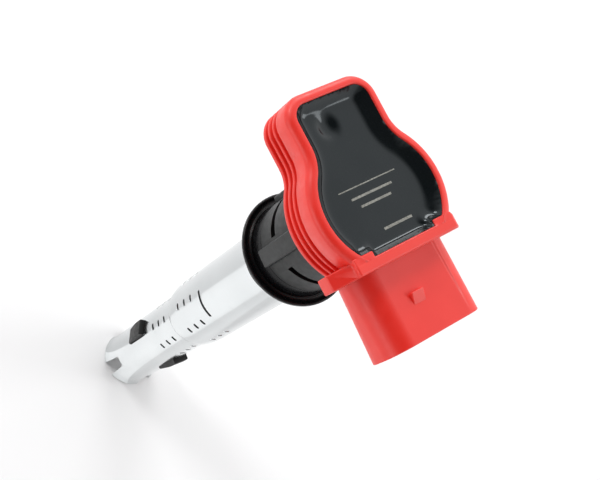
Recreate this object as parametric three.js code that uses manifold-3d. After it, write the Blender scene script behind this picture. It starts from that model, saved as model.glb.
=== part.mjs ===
// Pencil ignition coil: a moulded head with a four-way connector on top of a long
// metal sleeve that reaches down a spark plug well.
// Millimetres. +Z runs up the coil axis to the head, +X runs out of the connector,
// and the origin is on the axis at the face of the seal that seats on the engine.

import * as THREE from 'three';
import { mergeVertices } from 'three/addons/utils/BufferGeometryUtils.js';
import Module from 'manifold-3d';

const wasm = await Module();
wasm.setup();

// ---------------------------------------------------------------- driving dimensions

const GAP = 0.3;                 // clearance between pieces that touch
const EPS = 0.6;                 // how far a cutting tool runs past a face

// metal sleeves
const UPPER_R = 10.0;            // outer radius of the upper sleeve
const LOWER_R = 8.6;             // outer radius of the lower sleeve
const SLEEVE_WALL = 0.4;
const SLEEVE_TOP_Z = 8.0;
const SHOULDER_TOP_Z = -56.5;    // where the upper sleeve starts to round in
const SHOULDER_END_Z = -65.2;
const LOWER_TOP_Z = -61.8;
const TIP_Z = -127.0;            // open lower end of the object
const TIP_FLARE = 0.6;
const SLOT_COLUMNS = 8;          // columns of vent slots round each sleeve
const SLOTS_PER_COLUMN = 3;
const SLOT_PITCH = 4.9;
const SLOT_HEIGHT = 1.15;
const SLOT_LENGTH = 1.9;
const UPPER_SLOT_Z = -46.1;      // highest slot of each column on the upper sleeve
const LOWER_SLOT_Z = -71.2;
const SLIT_Z = -39.6;            // long slit round a part of the upper sleeve
const SLIT_ANGLE = -92;
const SLIT_SPAN = 48;
const NOTCHES = 4;               // notches that leave petals at the tip
const NOTCH_TOP_Z = -116.0;
const NOTCH_HALF_WIDTH = 1.7;
const NOTCH_FLARE = 0.5;         // how much wider each side of a notch is at the tip

// rubber boot and its centring pads
const BOOT_R = 7.7;
const BOOT_TOP_Z = -63.0;
const BOOT_END_Z = -119.0;
const PLUG_BORE_R = 5.4;
const PAD_ANGLES = [-5, 115, 235];
const PAD_TOP_Z = -89.3;
const PAD_END_Z = -102.4;
const PAD_R = 10.0;              // at the upper end, from where the pad ramps down
const PAD_RAMP_R = 8.9;
const PAD_HALF_WIDTH = 2.4;

// seal and collar
const BRIM_R = 14.8;
const SEAT_R = 13.5;             // outer radius of the flat face that seats on the engine
const BRIM_H = 2.4;
const COLLAR_R = 12.2;
const COLLAR_BASE_Z = 6.4;
const COLLAR_SLOT_Z = 12.9;      // lower face of the arc slots
const COLLAR_SLOT_H = 1.9;
const COLLAR_SLOT_DEPTH = 2.0;
const COLLAR_SLOT_SPAN = 50;
const COLLAR_SLOT_ANGLES = [45, 135, 225, 315];
const COLLAR_FLANGE_R = 13.6;    // rim under the head
const COLLAR_FLANGE_H = 1.6;
const COLLAR_RIB_R = 13.6;
const COLLAR_RIB_W = 4.6;
const COLLAR_RIB_ANGLES = [0, 94, 180, 266];
const SEAL_SKIRT = 0.5;          // wall of the sleeve of rubber under the brim
const SEAL_BEAD = 1.0;           // its two beads stand out this far
const SEAL_END_Z = -6.0;

// insulating case, its nozzle and the high voltage terminal
const CASE_R = 9.2;
const CASE_WALL = 0.9;
const CASE_CONE_TOP_Z = -55.6;   // where the case narrows to its nozzle
const CASE_CONE_END_Z = -60.4;
const NOZZLE_R = 5.2;
const NOZZLE_BORE_R = 4.2;
const NOZZLE_END_Z = -66.0;
const CUP_R = 3.8;               // cup of the high voltage terminal
const CUP_WALL = 0.6;
const CUP_TOP_Z = -55.4;
const CUP_END_Z = -60.0;
const STEM_R = 2.2;
const STEM_END_Z = -67.4;

// head: the plan is a round lobe over the axis and a narrower squared lobe behind it
const HEAD_BASE_Z = 31.2;
const RIM_Z = 44.2;
const LOBE_X = 0.45;
const LOBE_R = 15.8;             // inner rim radius of the round lobe
const REAR_HALF_W = 10.4;        // inner half width of the squared lobe
const REAR_X = -25.2;            // inner face of the rear wall
const REAR_CORNER_R = 3.6;
const WAIST_R = 11.1;            // concave radius that joins the two lobes
const HEAD_WALL = 2.4;
const RIM_ROUND = 1.8;
const HEAD_FLOOR = 1.4;
const GROOVE_Z = [33.4, 35.6, 37.8];
const GROOVE_W = 1.3;
const GROOVE_DEPTH = 1.5;
const POTTING_Z = 41.5;          // level of the potting compound
const POTTING_BASE_Z = 38.4;
const MENISCUS = 2.3;

// bulkhead between the head and the connector
const BULKHEAD_X0 = 12.0;
const BULKHEAD_X1 = 14.4;
const BULKHEAD_HALF_W = 14.9;
const BLOCK_X0 = 10.3;           // raised blocks in the corners of the bulkhead
const BLOCK_Y0 = 9.2;
const TAB_Y = 19.4;
const TAB_Z0 = 34.5;
const TAB_Z1 = 38.6;
const TAB_TOP_Z = 42.2;          // where the tab's sloping top reaches the bulkhead
const TAB_X0 = 10.6;

// connector shroud
const MOUTH_X = 32.9;
const SHROUD_HALF_W = 14.1;
const SHROUD_Z1 = 40.8;          // flat top
const SHROUD_ROOT_Z0 = 28.1;     // underside at the bulkhead
const SHROUD_MOUTH_Z0 = 26.4;    // underside at the mouth, where the shroud is deeper
const SHROUD_CORNER_R = 5.8;
const SHROUD_WALL = 1.4;
const SOCKET_X0 = 17.0;          // closed end of the socket
const LATCH_X = 22.4;
const LATCH_Y = -2.0;
const LATCH_L = 2.8;
const LATCH_W = 3.5;
const LATCH_H = 1.2;
const PIN_PITCH = 5.2;
const PIN_COUNT = 4;
const PIN_W = 2.8;
const PIN_T = 0.8;
const PIN_ROOT_X = 8.4;
const PIN_TIP_X = 26.4;
const PIN_TIP_TAPER = 1.0;
const PIN_FOOT_W = 1.2;          // narrow foot soldered to the board
const PIN_FOOT_L = 1.0;
const PIN_Z = 34.45;

// coil stack on the axis
const CORE_R = 3.2;
const CORE_TOP_Z = 18.0;
const CORE_END_Z = -48.0;
const MAGNET_H = 3.0;
const SECONDARY_R = 5.7;
const SECONDARY_WALL = 0.6;      // barrel of the secondary bobbin
const SECONDARY_CHAMBERS = 5;
const FLANGE_T = 1.0;            // flanges of the secondary bobbin
const PRIMARY_R = 8.0;
const BARREL_WALL = 0.5;         // barrel of the primary bobbin
const PRIMARY_RIBS = 12;
const CAP_H = 2.4;

// driver electronics on the floor of the head
const BOARD_Z = 32.7;
const BOARD_T = 1.0;
const CHIP_Z = BOARD_Z + BOARD_T + GAP;
const LEAD_Y = 5.6;              // riser of each primary lead
const LEAD_FOOT_Y = 7.4;         // where it reaches the winding
const LEAD_HALF_W = 1.0;
const LEAD_T = 0.5;
const LEAD_LOW_Z = 20.4;

// high voltage end
const RESISTOR_R = 2.4;
const RESISTOR_TOP_Z = -68.0;
const RESISTOR_END_Z = -84.0;
const SPRING_TOP_Z = -84.6;
const SPRING_END_Z = -101.4;
const SPRING_R = 3.6;
const SPRING_WIRE = 0.7;
const SPRING_BORE_R = 4.6;
const CONTACT_R = 4.2;
const CONTACT_WALL = 0.9;
const CONTACT_TOP_Z = -101.7;
const CONTACT_END_Z = -109.0;

// ---------------------------------------------------------------- materials

function finish(color, roughness, metalness = 0) {
  return new THREE.MeshStandardMaterial({ color, roughness, metalness });
}

const FINISH = {
  redPlastic: finish(0xe23a36, 0.45),
  potting: finish(0x2a2e31, 0.2),
  collar: finish(0x3c4043, 0.6),
  rubber: finish(0x16181a, 0.4),
  boot: finish(0x1b1c1e, 0.7),
  sleeve: finish(0xd6dadc, 0.25, 1),
  casePlastic: finish(0x2d2f33, 0.5),
  bobbin: finish(0xd9d2c0, 0.55),
  copper: finish(0xb8642f, 0.35, 1),
  coreSteel: finish(0x6f7478, 0.45, 1),
  magnet: finish(0x8b8f94, 0.3, 1),
  tin: finish(0xc3c4bf, 0.3, 1),
  ceramic: finish(0xe9e4d8, 0.6),
  springSteel: finish(0xb9bec2, 0.25, 1),
  board: finish(0x1f6b3c, 0.5),
  chip: finish(0x1a1a1c, 0.5),
};

// ---------------------------------------------------------------- solids and booleans

function solid(geometry) {
  const bare = geometry.index ? geometry.clone() : geometry;
  bare.deleteAttribute('normal');
  bare.deleteAttribute('uv');
  const merged = mergeVertices(bare, 1e-4);
  return new wasm.Manifold(new wasm.Mesh({
    numProp: 3,
    vertProperties: new Float32Array(merged.attributes.position.array),
    triVerts: new Uint32Array(merged.index.array),
  }));
}

function toGeometry(manifold) {
  const mesh = manifold.getMesh();
  const geometry = new THREE.BufferGeometry();
  geometry.setAttribute('position', new THREE.BufferAttribute(mesh.vertProperties, 3));
  geometry.setIndex(new THREE.BufferAttribute(mesh.triVerts, 1));
  geometry.computeVertexNormals();
  return geometry;
}

function cut(body, tools) {
  return tools.reduce((rest, tool) => rest.subtract(tool), body);
}

function join(body, others) {
  return others.reduce((sum, other) => sum.add(other), body);
}

const object = new THREE.Group();

function place(name, shape, material) {
  const geometry = shape.isBufferGeometry ? shape : toGeometry(shape);
  const mesh = new THREE.Mesh(geometry, material);
  mesh.name = name;
  object.add(mesh);
  return mesh;
}

// A body turned round Z from a closed profile of [radius, z] points.
function turned(profile, segments = 24) {
  const points = profile.map(([r, z]) => new THREE.Vector2(r, z));
  points.push(points[0].clone());
  const geometry = new THREE.LatheGeometry(points, segments);
  geometry.rotateX(Math.PI / 2);
  return solid(area(profile) > 0 ? geometry : flip(geometry));
}

function area(profile) {
  return profile.reduce((sum, [r, z], i) => {
    const [r2, z2] = profile[(i + 1) % profile.length];
    return sum + r * z2 - r2 * z;
  }, 0);
}

function flip(geometry) {
  const index = geometry.index.array;
  for (let i = 0; i < index.length; i += 3) {
    [index[i], index[i + 1]] = [index[i + 1], index[i]];
  }
  return geometry;
}

// A ring between two radii and two levels.
function ring(inner, outer, z0, z1, segments = 24) {
  return turned([[inner, z0], [outer, z0], [outer, z1], [inner, z1]], segments);
}

function rod(radius, z0, z1, segments = 24) {
  const geometry = new THREE.CylinderGeometry(radius, radius, z1 - z0, segments);
  geometry.rotateX(Math.PI / 2);
  geometry.translate(0, 0, (z0 + z1) / 2);
  return solid(geometry);
}

function block(x0, x1, y0, y1, z0, z1) {
  const geometry = new THREE.BoxGeometry(x1 - x0, y1 - y0, z1 - z0);
  geometry.translate((x0 + x1) / 2, (y0 + y1) / 2, (z0 + z1) / 2);
  return solid(geometry);
}

// A box that points out along a radius of the coil, turned to the angle in degrees.
function radialBlock(r0, r1, halfWidth, z0, z1, angle) {
  const geometry = new THREE.BoxGeometry(r1 - r0, 2 * halfWidth, z1 - z0);
  geometry.translate((r0 + r1) / 2, 0, (z0 + z1) / 2);
  geometry.rotateZ(THREE.MathUtils.degToRad(angle));
  return solid(geometry);
}

// A flat outline in XY pushed up from z0 to z1.
function prism(points, z0, z1) {
  const shape = new THREE.Shape(points.map(([x, y]) => new THREE.Vector2(x, y)));
  const geometry = new THREE.ExtrudeGeometry(shape, { depth: z1 - z0, bevelEnabled: false });
  geometry.translate(0, 0, z0);
  return solid(geometry);
}

// Turns a shape drawn as (y, z) with its depth along Z so that its depth runs along X.
const AXES_TO_X = new THREE.Matrix4().set(
  0, 0, 1, 0,
  1, 0, 0, 0,
  0, 1, 0, 0,
  0, 0, 0, 1,
);

// A flat outline given as [y, z] points, pushed out along X.
function prismAlongX(points, x0, x1) {
  const shape = new THREE.Shape(points.map(([y, z]) => new THREE.Vector2(y, z)));
  const geometry = new THREE.ExtrudeGeometry(shape, { depth: x1 - x0, bevelEnabled: false });
  geometry.translate(0, 0, x0);
  geometry.applyMatrix4(AXES_TO_X);
  return solid(geometry);
}

// A skin over a stack of outlines with equal numbers of points, closed by flat ends.
function loft(rings, axes = new THREE.Matrix4()) {
  const count = rings[0].length;
  const positions = rings.flat(2);
  const index = [];
  for (let level = 0; level < rings.length - 1; level += 1) {
    for (let i = 0; i < count; i += 1) {
      const a = level * count + i;
      const b = level * count + (i + 1) % count;
      index.push(a, b, b + count, a, b + count, a + count);
    }
  }
  const flat = (ringPoints) => ringPoints.map(([x, y]) => new THREE.Vector2(x, y));
  const top = (rings.length - 1) * count;
  THREE.ShapeUtils.triangulateShape(flat(rings[0]), []).forEach(([a, b, c]) => {
    index.push(a, c, b);
  });
  THREE.ShapeUtils.triangulateShape(flat(rings.at(-1)), []).forEach(([a, b, c]) => {
    index.push(top + a, top + b, top + c);
  });
  const geometry = new THREE.BufferGeometry();
  geometry.setAttribute('position', new THREE.Float32BufferAttribute(positions, 3));
  geometry.setIndex(index);
  geometry.applyMatrix4(axes);
  return solid(geometry);
}

// Points on an arc in XY, both ends included. Angles are in degrees.
function arc(x, y, radius, from, to, steps) {
  return Array.from({ length: steps + 1 }, (_, i) => {
    const angle = THREE.MathUtils.degToRad(from + ((to - from) * i) / steps);
    return [x + radius * Math.cos(angle), y + radius * Math.sin(angle)];
  });
}

// ---------------------------------------------------------------- head outline

// The plan of the head, moved outward from the inner rim by `grow`, cut off at frontX.
function headOutline(grow, frontX) {
  const waistY = REAR_HALF_W + WAIST_R;
  const waistX = LOBE_X - Math.sqrt((LOBE_R + WAIST_R) ** 2 - waistY ** 2);
  const tangent = THREE.MathUtils.radToDeg(Math.atan2(waistY, waistX - LOBE_X));
  const lobe = LOBE_R + grow;
  const front = THREE.MathUtils.radToDeg(Math.acos((frontX - LOBE_X) / lobe));
  const corner = REAR_CORNER_R + grow;
  const half = [
    ...arc(LOBE_X, 0, lobe, front, tangent, 9),
    ...arc(waistX, waistY, WAIST_R - grow, tangent + 180, 270, 4),
    ...arc(REAR_X + REAR_CORNER_R, REAR_HALF_W - REAR_CORNER_R, corner, 90, 180, 5),
  ];
  const mirrored = half.map(([x, y]) => [x, -y]).reverse();
  return [...half, ...mirrored];
}

function headRing(grow, z, frontX) {
  return headOutline(grow, frontX).map(([x, y]) => [x, y, z]);
}

// ---------------------------------------------------------------- head housing

function headShell() {
  const levels = [[HEAD_WALL - 0.4, HEAD_BASE_Z], [HEAD_WALL, HEAD_BASE_Z + 0.4]];
  GROOVE_Z.forEach((z) => {
    const [low, high] = [z - GROOVE_W / 2, z + GROOVE_W / 2];
    levels.push([HEAD_WALL, low], [HEAD_WALL - GROOVE_DEPTH, low + 0.1]);
    levels.push([HEAD_WALL - GROOVE_DEPTH, high - 0.1], [HEAD_WALL, high]);
  });
  const steps = 4;
  for (let i = 0; i <= steps; i += 1) {
    const angle = (Math.PI / 2) * (i / steps);
    levels.push([
      HEAD_WALL - RIM_ROUND * (1 - Math.cos(angle)),
      RIM_Z - RIM_ROUND * (1 - Math.sin(angle)),
    ]);
  }
  return loft(levels.map(([grow, z]) => headRing(grow, z, BULKHEAD_X0)));
}

function headCavity() {
  const depth = [HEAD_BASE_Z + HEAD_FLOOR, RIM_Z + EPS];
  const front = BULKHEAD_X0 - 0.001;
  return loft(depth.map((z) => headRing(0, z, front)));
}

function cornerBlocks() {
  return [-1, 1].map((side) => {
    const outline = [
      [BLOCK_X0, side * BLOCK_Y0],
      [BULKHEAD_X0 + EPS, side * BLOCK_Y0],
      [BULKHEAD_X0 + EPS, side * BULKHEAD_HALF_W],
      [BLOCK_X0, side * (BULKHEAD_HALF_W + 0.2)],
    ];
    return prism(side > 0 ? outline : outline.reverse(), HEAD_BASE_Z + 1, RIM_Z);
  });
}

function bulkhead() {
  const half = BULKHEAD_HALF_W;
  const bar = [
    [-half, HEAD_BASE_Z], [half, HEAD_BASE_Z], [half, RIM_Z - 0.6],
    [half - 0.6, RIM_Z], [-half + 0.6, RIM_Z], [-half, RIM_Z - 0.6],
  ];
  const plate = prismAlongX(bar, BULKHEAD_X0 - 0.3, BULKHEAD_X1);
  const tabs = prismAlongX([
    [-TAB_Y, TAB_Z0], [TAB_Y, TAB_Z0], [TAB_Y, TAB_Z1],
    [half, TAB_TOP_Z], [-half, TAB_TOP_Z], [-TAB_Y, TAB_Z1],
  ], TAB_X0, BULKHEAD_X1);
  const room = block(TAB_X0 - 1, BULKHEAD_X0 - 0.3, -half, half, TAB_Z0 - 1, TAB_TOP_Z + 1);
  return plate.add(tabs.subtract(room));
}

function roundedRectangle(halfWidth, z0, z1, radius, steps) {
  const [y, low, high] = [halfWidth - radius, z0 + radius, z1 - radius];
  return [
    ...arc(y, low, radius, -90, 0, steps),
    ...arc(y, high, radius, 0, 90, steps),
    ...arc(-y, high, radius, 90, 180, steps),
    ...arc(-y, low, radius, 180, 270, steps),
  ];
}

// The shroud's rounded section at x, moved inward by inset. Its top is level and its
// underside drops towards the mouth.
function shroudRing(x, inset) {
  const along = (x - BULKHEAD_X1) / (MOUTH_X - BULKHEAD_X1);
  const floor = SHROUD_ROOT_Z0 + (SHROUD_MOUTH_Z0 - SHROUD_ROOT_Z0) * along;
  const section = roundedRectangle(
    SHROUD_HALF_W - inset, floor + inset, SHROUD_Z1 - inset, SHROUD_CORNER_R - inset, 6,
  );
  return section.map(([y, z]) => [y, z, x]);
}

function connectorShroud() {
  return loft([BULKHEAD_X1 - EPS, MOUTH_X].map((x) => shroudRing(x, 0)), AXES_TO_X);
}

function socketHollow() {
  return loft([SOCKET_X0, MOUTH_X + EPS].map((x) => shroudRing(x, SHROUD_WALL)), AXES_TO_X);
}

function latchWedge() {
  const foot = SHROUD_Z1 - 0.2;
  const side = [
    [LATCH_X, foot], [LATCH_X + LATCH_L, foot], [LATCH_X, SHROUD_Z1 + LATCH_H],
  ];
  const shape = new THREE.Shape(side.map(([x, z]) => new THREE.Vector2(x, z)));
  const geometry = new THREE.ExtrudeGeometry(shape, { depth: LATCH_W, bevelEnabled: false });
  geometry.rotateX(Math.PI / 2);
  geometry.translate(0, LATCH_Y + LATCH_W / 2, 0);
  return solid(geometry);
}

function pinY(index) {
  return (index - (PIN_COUNT - 1) / 2) * PIN_PITCH;
}

function pinSlots() {
  return Array.from({ length: PIN_COUNT }, (_, i) => block(
    BLOCK_X0 - 1, SOCKET_X0 + EPS,
    pinY(i) - PIN_W / 2 - GAP, pinY(i) + PIN_W / 2 + GAP,
    PIN_Z - PIN_T / 2 - GAP, PIN_Z + PIN_T / 2 + GAP,
  ));
}

function headHousing() {
  const shell = cut(headShell(), [headCavity()]);
  const body = join(shell, [bulkhead(), ...cornerBlocks(), connectorShroud(), latchWedge()]);
  const neckHole = rod(CASE_R + GAP, HEAD_BASE_Z - EPS, HEAD_BASE_Z + HEAD_FLOOR + EPS, 32);
  return cut(body, [socketHollow(), neckHole, ...pinSlots()]);
}

// ---------------------------------------------------------------- potting compound

function pottingSlab() {
  const front = BLOCK_X0 - GAP;
  const rings = [
    headRing(-GAP, POTTING_BASE_Z, front),
    headRing(-GAP, POTTING_Z + MENISCUS, front),
    headRing(-GAP - 0.25, POTTING_Z + MENISCUS, front - 0.25),
    headRing(-GAP - 0.8, POTTING_Z + 0.8, front - 0.8),
    headRing(-GAP - MENISCUS, POTTING_Z, front - 0.9),
  ];
  const edge = prism([
    [front - 1, -BLOCK_Y0 + GAP], [BULKHEAD_X0 - 0.3 - GAP, -BLOCK_Y0 + GAP],
    [BULKHEAD_X0 - 0.3 - GAP, BLOCK_Y0 - GAP], [front - 1, BLOCK_Y0 - GAP],
  ], POTTING_BASE_Z, RIM_Z - 0.8);
  return loft(rings).add(edge);
}

// ---------------------------------------------------------------- collar and seal

function collar() {
  const top = HEAD_BASE_Z - GAP;
  const body = turned([
    [UPPER_R + GAP, COLLAR_BASE_Z], [COLLAR_R - 0.4, COLLAR_BASE_Z],
    [COLLAR_R, COLLAR_BASE_Z + 0.6], [COLLAR_R, top - COLLAR_FLANGE_H],
    [COLLAR_FLANGE_R, top - COLLAR_FLANGE_H], [COLLAR_FLANGE_R, top],
    [CASE_R + GAP, top], [CASE_R + GAP, SLEEVE_TOP_Z + 1.2],
    [UPPER_R + GAP, SLEEVE_TOP_Z + 0.6],
  ], 40);
  const ribs = COLLAR_RIB_ANGLES.map((angle) => radialBlock(
    COLLAR_R - 1, COLLAR_RIB_R, COLLAR_RIB_W / 2, COLLAR_BASE_Z + 0.3, top - 0.8, angle,
  ));
  const slots = COLLAR_SLOT_ANGLES.map((angle) => arcSlot(
    COLLAR_R - COLLAR_SLOT_DEPTH, COLLAR_R + EPS, angle, COLLAR_SLOT_SPAN,
    COLLAR_SLOT_Z, COLLAR_SLOT_Z + COLLAR_SLOT_H,
  ));
  return cut(join(body, ribs), slots);
}

// A cutting tool that follows a circle: a sector between two radii and two levels.
function arcSlot(inner, outer, middle, span, z0, z1) {
  const [from, to] = [middle - span / 2, middle + span / 2];
  const outline = [
    ...arc(0, 0, outer, from, to, 8),
    ...arc(0, 0, inner, to, from, 8),
  ];
  return prism(outline, z0, z1);
}

function sealBrim() {
  const bore = UPPER_R + GAP;
  const [skirt, bead] = [bore + SEAL_SKIRT, bore + SEAL_BEAD];
  return turned([
    [bore, SEAL_END_Z], [skirt, SEAL_END_Z], [bead, SEAL_END_Z + 0.6],
    [skirt, SEAL_END_Z + 1.4], [skirt, SEAL_END_Z + 2.4], [bead, SEAL_END_Z + 3.1],
    [skirt + 0.1, SEAL_END_Z + 4], [skirt + 0.1, 0], [SEAT_R, 0],
    [BRIM_R, BRIM_H - 1.0], [BRIM_R, BRIM_H - 0.3], [BRIM_R - 0.4, BRIM_H],
    [BRIM_R - 1.2, BRIM_H - 0.5], [BRIM_R - 2.3, BRIM_H - 0.3],
    [COLLAR_R - 0.5, COLLAR_BASE_Z - GAP], [bore, COLLAR_BASE_Z - GAP],
  ], 40);
}

// ---------------------------------------------------------------- metal sleeves

function slotTools(radius, topZ) {
  const tools = [];
  for (let column = 0; column < SLOT_COLUMNS; column += 1) {
    const angle = (360 / SLOT_COLUMNS) * (column + 0.5);
    for (let i = 0; i < SLOTS_PER_COLUMN; i += 1) {
      const z = topZ - i * SLOT_PITCH;
      tools.push(radialBlock(
        radius - 1.5, radius + 1, SLOT_LENGTH / 2, z - SLOT_HEIGHT / 2, z + SLOT_HEIGHT / 2,
        angle,
      ));
    }
  }
  return tools;
}

function upperSleeve() {
  const steps = 5;
  const neck = LOWER_R + GAP + SLEEVE_WALL;
  const outer = Array.from({ length: steps + 1 }, (_, i) => {
    const angle = (Math.PI / 2) * (i / steps);
    return [
      neck + (UPPER_R - neck) * Math.cos(angle),
      SHOULDER_TOP_Z + (SHOULDER_END_Z - SHOULDER_TOP_Z) * Math.sin(angle),
    ];
  });
  const inner = outer.map(([r, z]) => [r - SLEEVE_WALL, z]).reverse();
  const profile = [
    [UPPER_R, SLEEVE_TOP_Z], ...outer, ...inner, [UPPER_R - SLEEVE_WALL, SLEEVE_TOP_Z],
  ];
  const slit = arcSlot(
    UPPER_R - 1.5, UPPER_R + 1, SLIT_ANGLE, SLIT_SPAN,
    SLIT_Z - SLOT_HEIGHT / 2, SLIT_Z + SLOT_HEIGHT / 2,
  );
  return cut(turned(profile, 40), [slit, ...slotTools(UPPER_R, UPPER_SLOT_Z)]);
}

function notchTool(angle) {
  const mouth = NOTCH_HALF_WIDTH + NOTCH_FLARE;
  const outline = new THREE.Shape([
    new THREE.Vector2(-mouth, TIP_Z - EPS), new THREE.Vector2(mouth, TIP_Z - EPS),
    new THREE.Vector2(NOTCH_HALF_WIDTH, NOTCH_TOP_Z - 1),
    new THREE.Vector2(NOTCH_HALF_WIDTH - 1, NOTCH_TOP_Z),
    new THREE.Vector2(1 - NOTCH_HALF_WIDTH, NOTCH_TOP_Z),
    new THREE.Vector2(-NOTCH_HALF_WIDTH, NOTCH_TOP_Z - 1),
  ]);
  const reach = LOWER_R + 3;
  const geometry = new THREE.ExtrudeGeometry(outline, { depth: reach, bevelEnabled: false });
  geometry.rotateX(Math.PI / 2);
  geometry.rotateZ(THREE.MathUtils.degToRad(angle + 90));
  return solid(geometry);
}

function lowerSleeve() {
  const inner = LOWER_R - SLEEVE_WALL;
  const wall = turned([
    [LOWER_R, LOWER_TOP_Z], [inner, LOWER_TOP_Z], [inner, TIP_Z + 4],
    [inner + TIP_FLARE * 0.3, TIP_Z + 1.6], [inner + TIP_FLARE, TIP_Z],
    [LOWER_R + TIP_FLARE, TIP_Z], [LOWER_R + TIP_FLARE * 0.3, TIP_Z + 1.6],
    [LOWER_R, TIP_Z + 4],
  ], 40);
  const windows = PAD_ANGLES.map((angle) => radialBlock(
    LOWER_R - 3, LOWER_R + 2, PAD_HALF_WIDTH + GAP, PAD_END_Z - GAP, PAD_TOP_Z + GAP, angle,
  ));
  const notches = Array.from({ length: NOTCHES }, (_, i) => notchTool(-90 + (360 / NOTCHES) * i));
  return cut(wall, [...windows, ...notches, ...slotTools(LOWER_R, LOWER_SLOT_Z)]);
}

// ---------------------------------------------------------------- boot and contact

function plugBoot() {
  const body = turned([
    [NOZZLE_R + GAP, BOOT_TOP_Z], [BOOT_R - 0.5, BOOT_TOP_Z], [BOOT_R, BOOT_TOP_Z - 1],
    [BOOT_R, BOOT_END_Z + 1], [BOOT_R - 0.8, BOOT_END_Z], [PLUG_BORE_R + 0.7, BOOT_END_Z],
    [PLUG_BORE_R, BOOT_END_Z + 1.2], [PLUG_BORE_R, CONTACT_END_Z - 1],
    [SPRING_BORE_R, CONTACT_END_Z - 0.2], [SPRING_BORE_R, SPRING_TOP_Z],
    [RESISTOR_R + GAP, SPRING_TOP_Z + 1], [RESISTOR_R + GAP, RESISTOR_TOP_Z + 0.4],
    [NOZZLE_R + GAP, RESISTOR_TOP_Z + 1.6],
  ], 32);
  return join(body, PAD_ANGLES.map(centringPad));
}

// A pad stands out most at its upper end and ramps down towards the tip.
function centringPad(angle) {
  const root = BOOT_R - 1;
  const side = new THREE.Shape([
    new THREE.Vector2(root, PAD_END_Z), new THREE.Vector2(PAD_RAMP_R, PAD_END_Z),
    new THREE.Vector2(PAD_R, PAD_TOP_Z - 4.6), new THREE.Vector2(PAD_R, PAD_TOP_Z - 0.5),
    new THREE.Vector2(PAD_R - 0.5, PAD_TOP_Z), new THREE.Vector2(root, PAD_TOP_Z),
  ]);
  const width = 2 * PAD_HALF_WIDTH;
  const geometry = new THREE.ExtrudeGeometry(side, { depth: width, bevelEnabled: false });
  geometry.translate(0, 0, -PAD_HALF_WIDTH);
  geometry.rotateX(Math.PI / 2);
  geometry.rotateZ(THREE.MathUtils.degToRad(angle));
  return solid(geometry);
}

function plugContact() {
  const bore = CONTACT_R - CONTACT_WALL;
  return turned([
    [0, CONTACT_TOP_Z], [CONTACT_R - 0.8, CONTACT_TOP_Z], [CONTACT_R, CONTACT_TOP_Z - 0.8],
    [CONTACT_R, CONTACT_END_Z + 0.6], [CONTACT_R - 0.3, CONTACT_END_Z], [bore, CONTACT_END_Z],
    [bore, CONTACT_TOP_Z - 1.4], [0, CONTACT_TOP_Z - 1.4],
  ], 24);
}

function contactSpring() {
  return ring(SPRING_R - SPRING_WIRE, SPRING_R, SPRING_END_Z, SPRING_TOP_Z, 20);
}

function suppressionResistor() {
  const capH = 2.2;
  const waist = RESISTOR_R - 0.25;
  return turned([
    [0, RESISTOR_END_Z], [RESISTOR_R, RESISTOR_END_Z], [RESISTOR_R, RESISTOR_END_Z + capH],
    [waist, RESISTOR_END_Z + capH], [waist, RESISTOR_TOP_Z - capH],
    [RESISTOR_R, RESISTOR_TOP_Z - capH], [RESISTOR_R, RESISTOR_TOP_Z], [0, RESISTOR_TOP_Z],
  ], 20);
}

function highVoltageTerminal() {
  const bore = CUP_R - CUP_WALL;
  const cupFloor = CUP_END_Z + 1.4;
  return turned([
    [0, STEM_END_Z], [STEM_R, STEM_END_Z], [STEM_R, CUP_END_Z - 1], [CUP_R, CUP_END_Z],
    [CUP_R, CUP_TOP_Z], [bore, CUP_TOP_Z], [bore, cupFloor], [0, cupFloor],
  ], 20);
}

// ---------------------------------------------------------------- coil stack

function insulatingCase() {
  const inner = CASE_R - CASE_WALL;
  const top = HEAD_BASE_Z + HEAD_FLOOR - 0.2;
  return turned([
    [CASE_R, top], [inner, top], [inner, CASE_CONE_TOP_Z + 1],
    [NOZZLE_BORE_R, CASE_CONE_END_Z + 1], [NOZZLE_BORE_R, NOZZLE_END_Z],
    [NOZZLE_R, NOZZLE_END_Z], [NOZZLE_R, CASE_CONE_END_Z], [CASE_R, CASE_CONE_TOP_Z],
  ], 28);
}

// Stacked laminations give the core a stepped round section, its corners on one circle.
function ironCore() {
  const steps = 4;
  const corners = arc(0, 0, CORE_R, 90 / (2 * steps), 90 - 90 / (2 * steps), steps - 1);
  const quarter = corners.flatMap(([x, y], i) => (
    i === 0 ? [[x, y]] : [[x, corners[i - 1][1]], [x, y]]
  ));
  const right = [...quarter.map(([x, y]) => [x, -y]).reverse(), ...quarter];
  const left = right.map(([x, y]) => [-x, -y]);
  return prism([...right, ...left], CORE_END_Z, CORE_TOP_Z);
}

function chamberEdges() {
  const [low, high] = [CORE_END_Z - 1, CORE_TOP_Z];
  const pitch = (high - low) / SECONDARY_CHAMBERS;
  return Array.from({ length: SECONDARY_CHAMBERS + 1 }, (_, i) => low + i * pitch);
}

function secondaryBobbin() {
  const inner = CORE_R + 0.4;
  const barrel = inner + SECONDARY_WALL;
  const edges = chamberEdges();
  const outside = edges.flatMap((z) => [
    [barrel, z - FLANGE_T / 2], [SECONDARY_R, z - FLANGE_T / 2],
    [SECONDARY_R, z + FLANGE_T / 2], [barrel, z + FLANGE_T / 2],
  ]).slice(1, -1);
  return turned([
    [inner, edges[0] - FLANGE_T / 2], ...outside, [inner, edges.at(-1) + FLANGE_T / 2],
  ], 20);
}

function secondaryWinding(chamber) {
  const edges = chamberEdges();
  const inset = FLANGE_T / 2 + GAP;
  const inner = CORE_R + 0.4 + SECONDARY_WALL + GAP;
  return ring(
    inner, SECONDARY_R - 0.3, edges[chamber] + inset, edges[chamber + 1] - inset, 20,
  );
}

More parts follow.
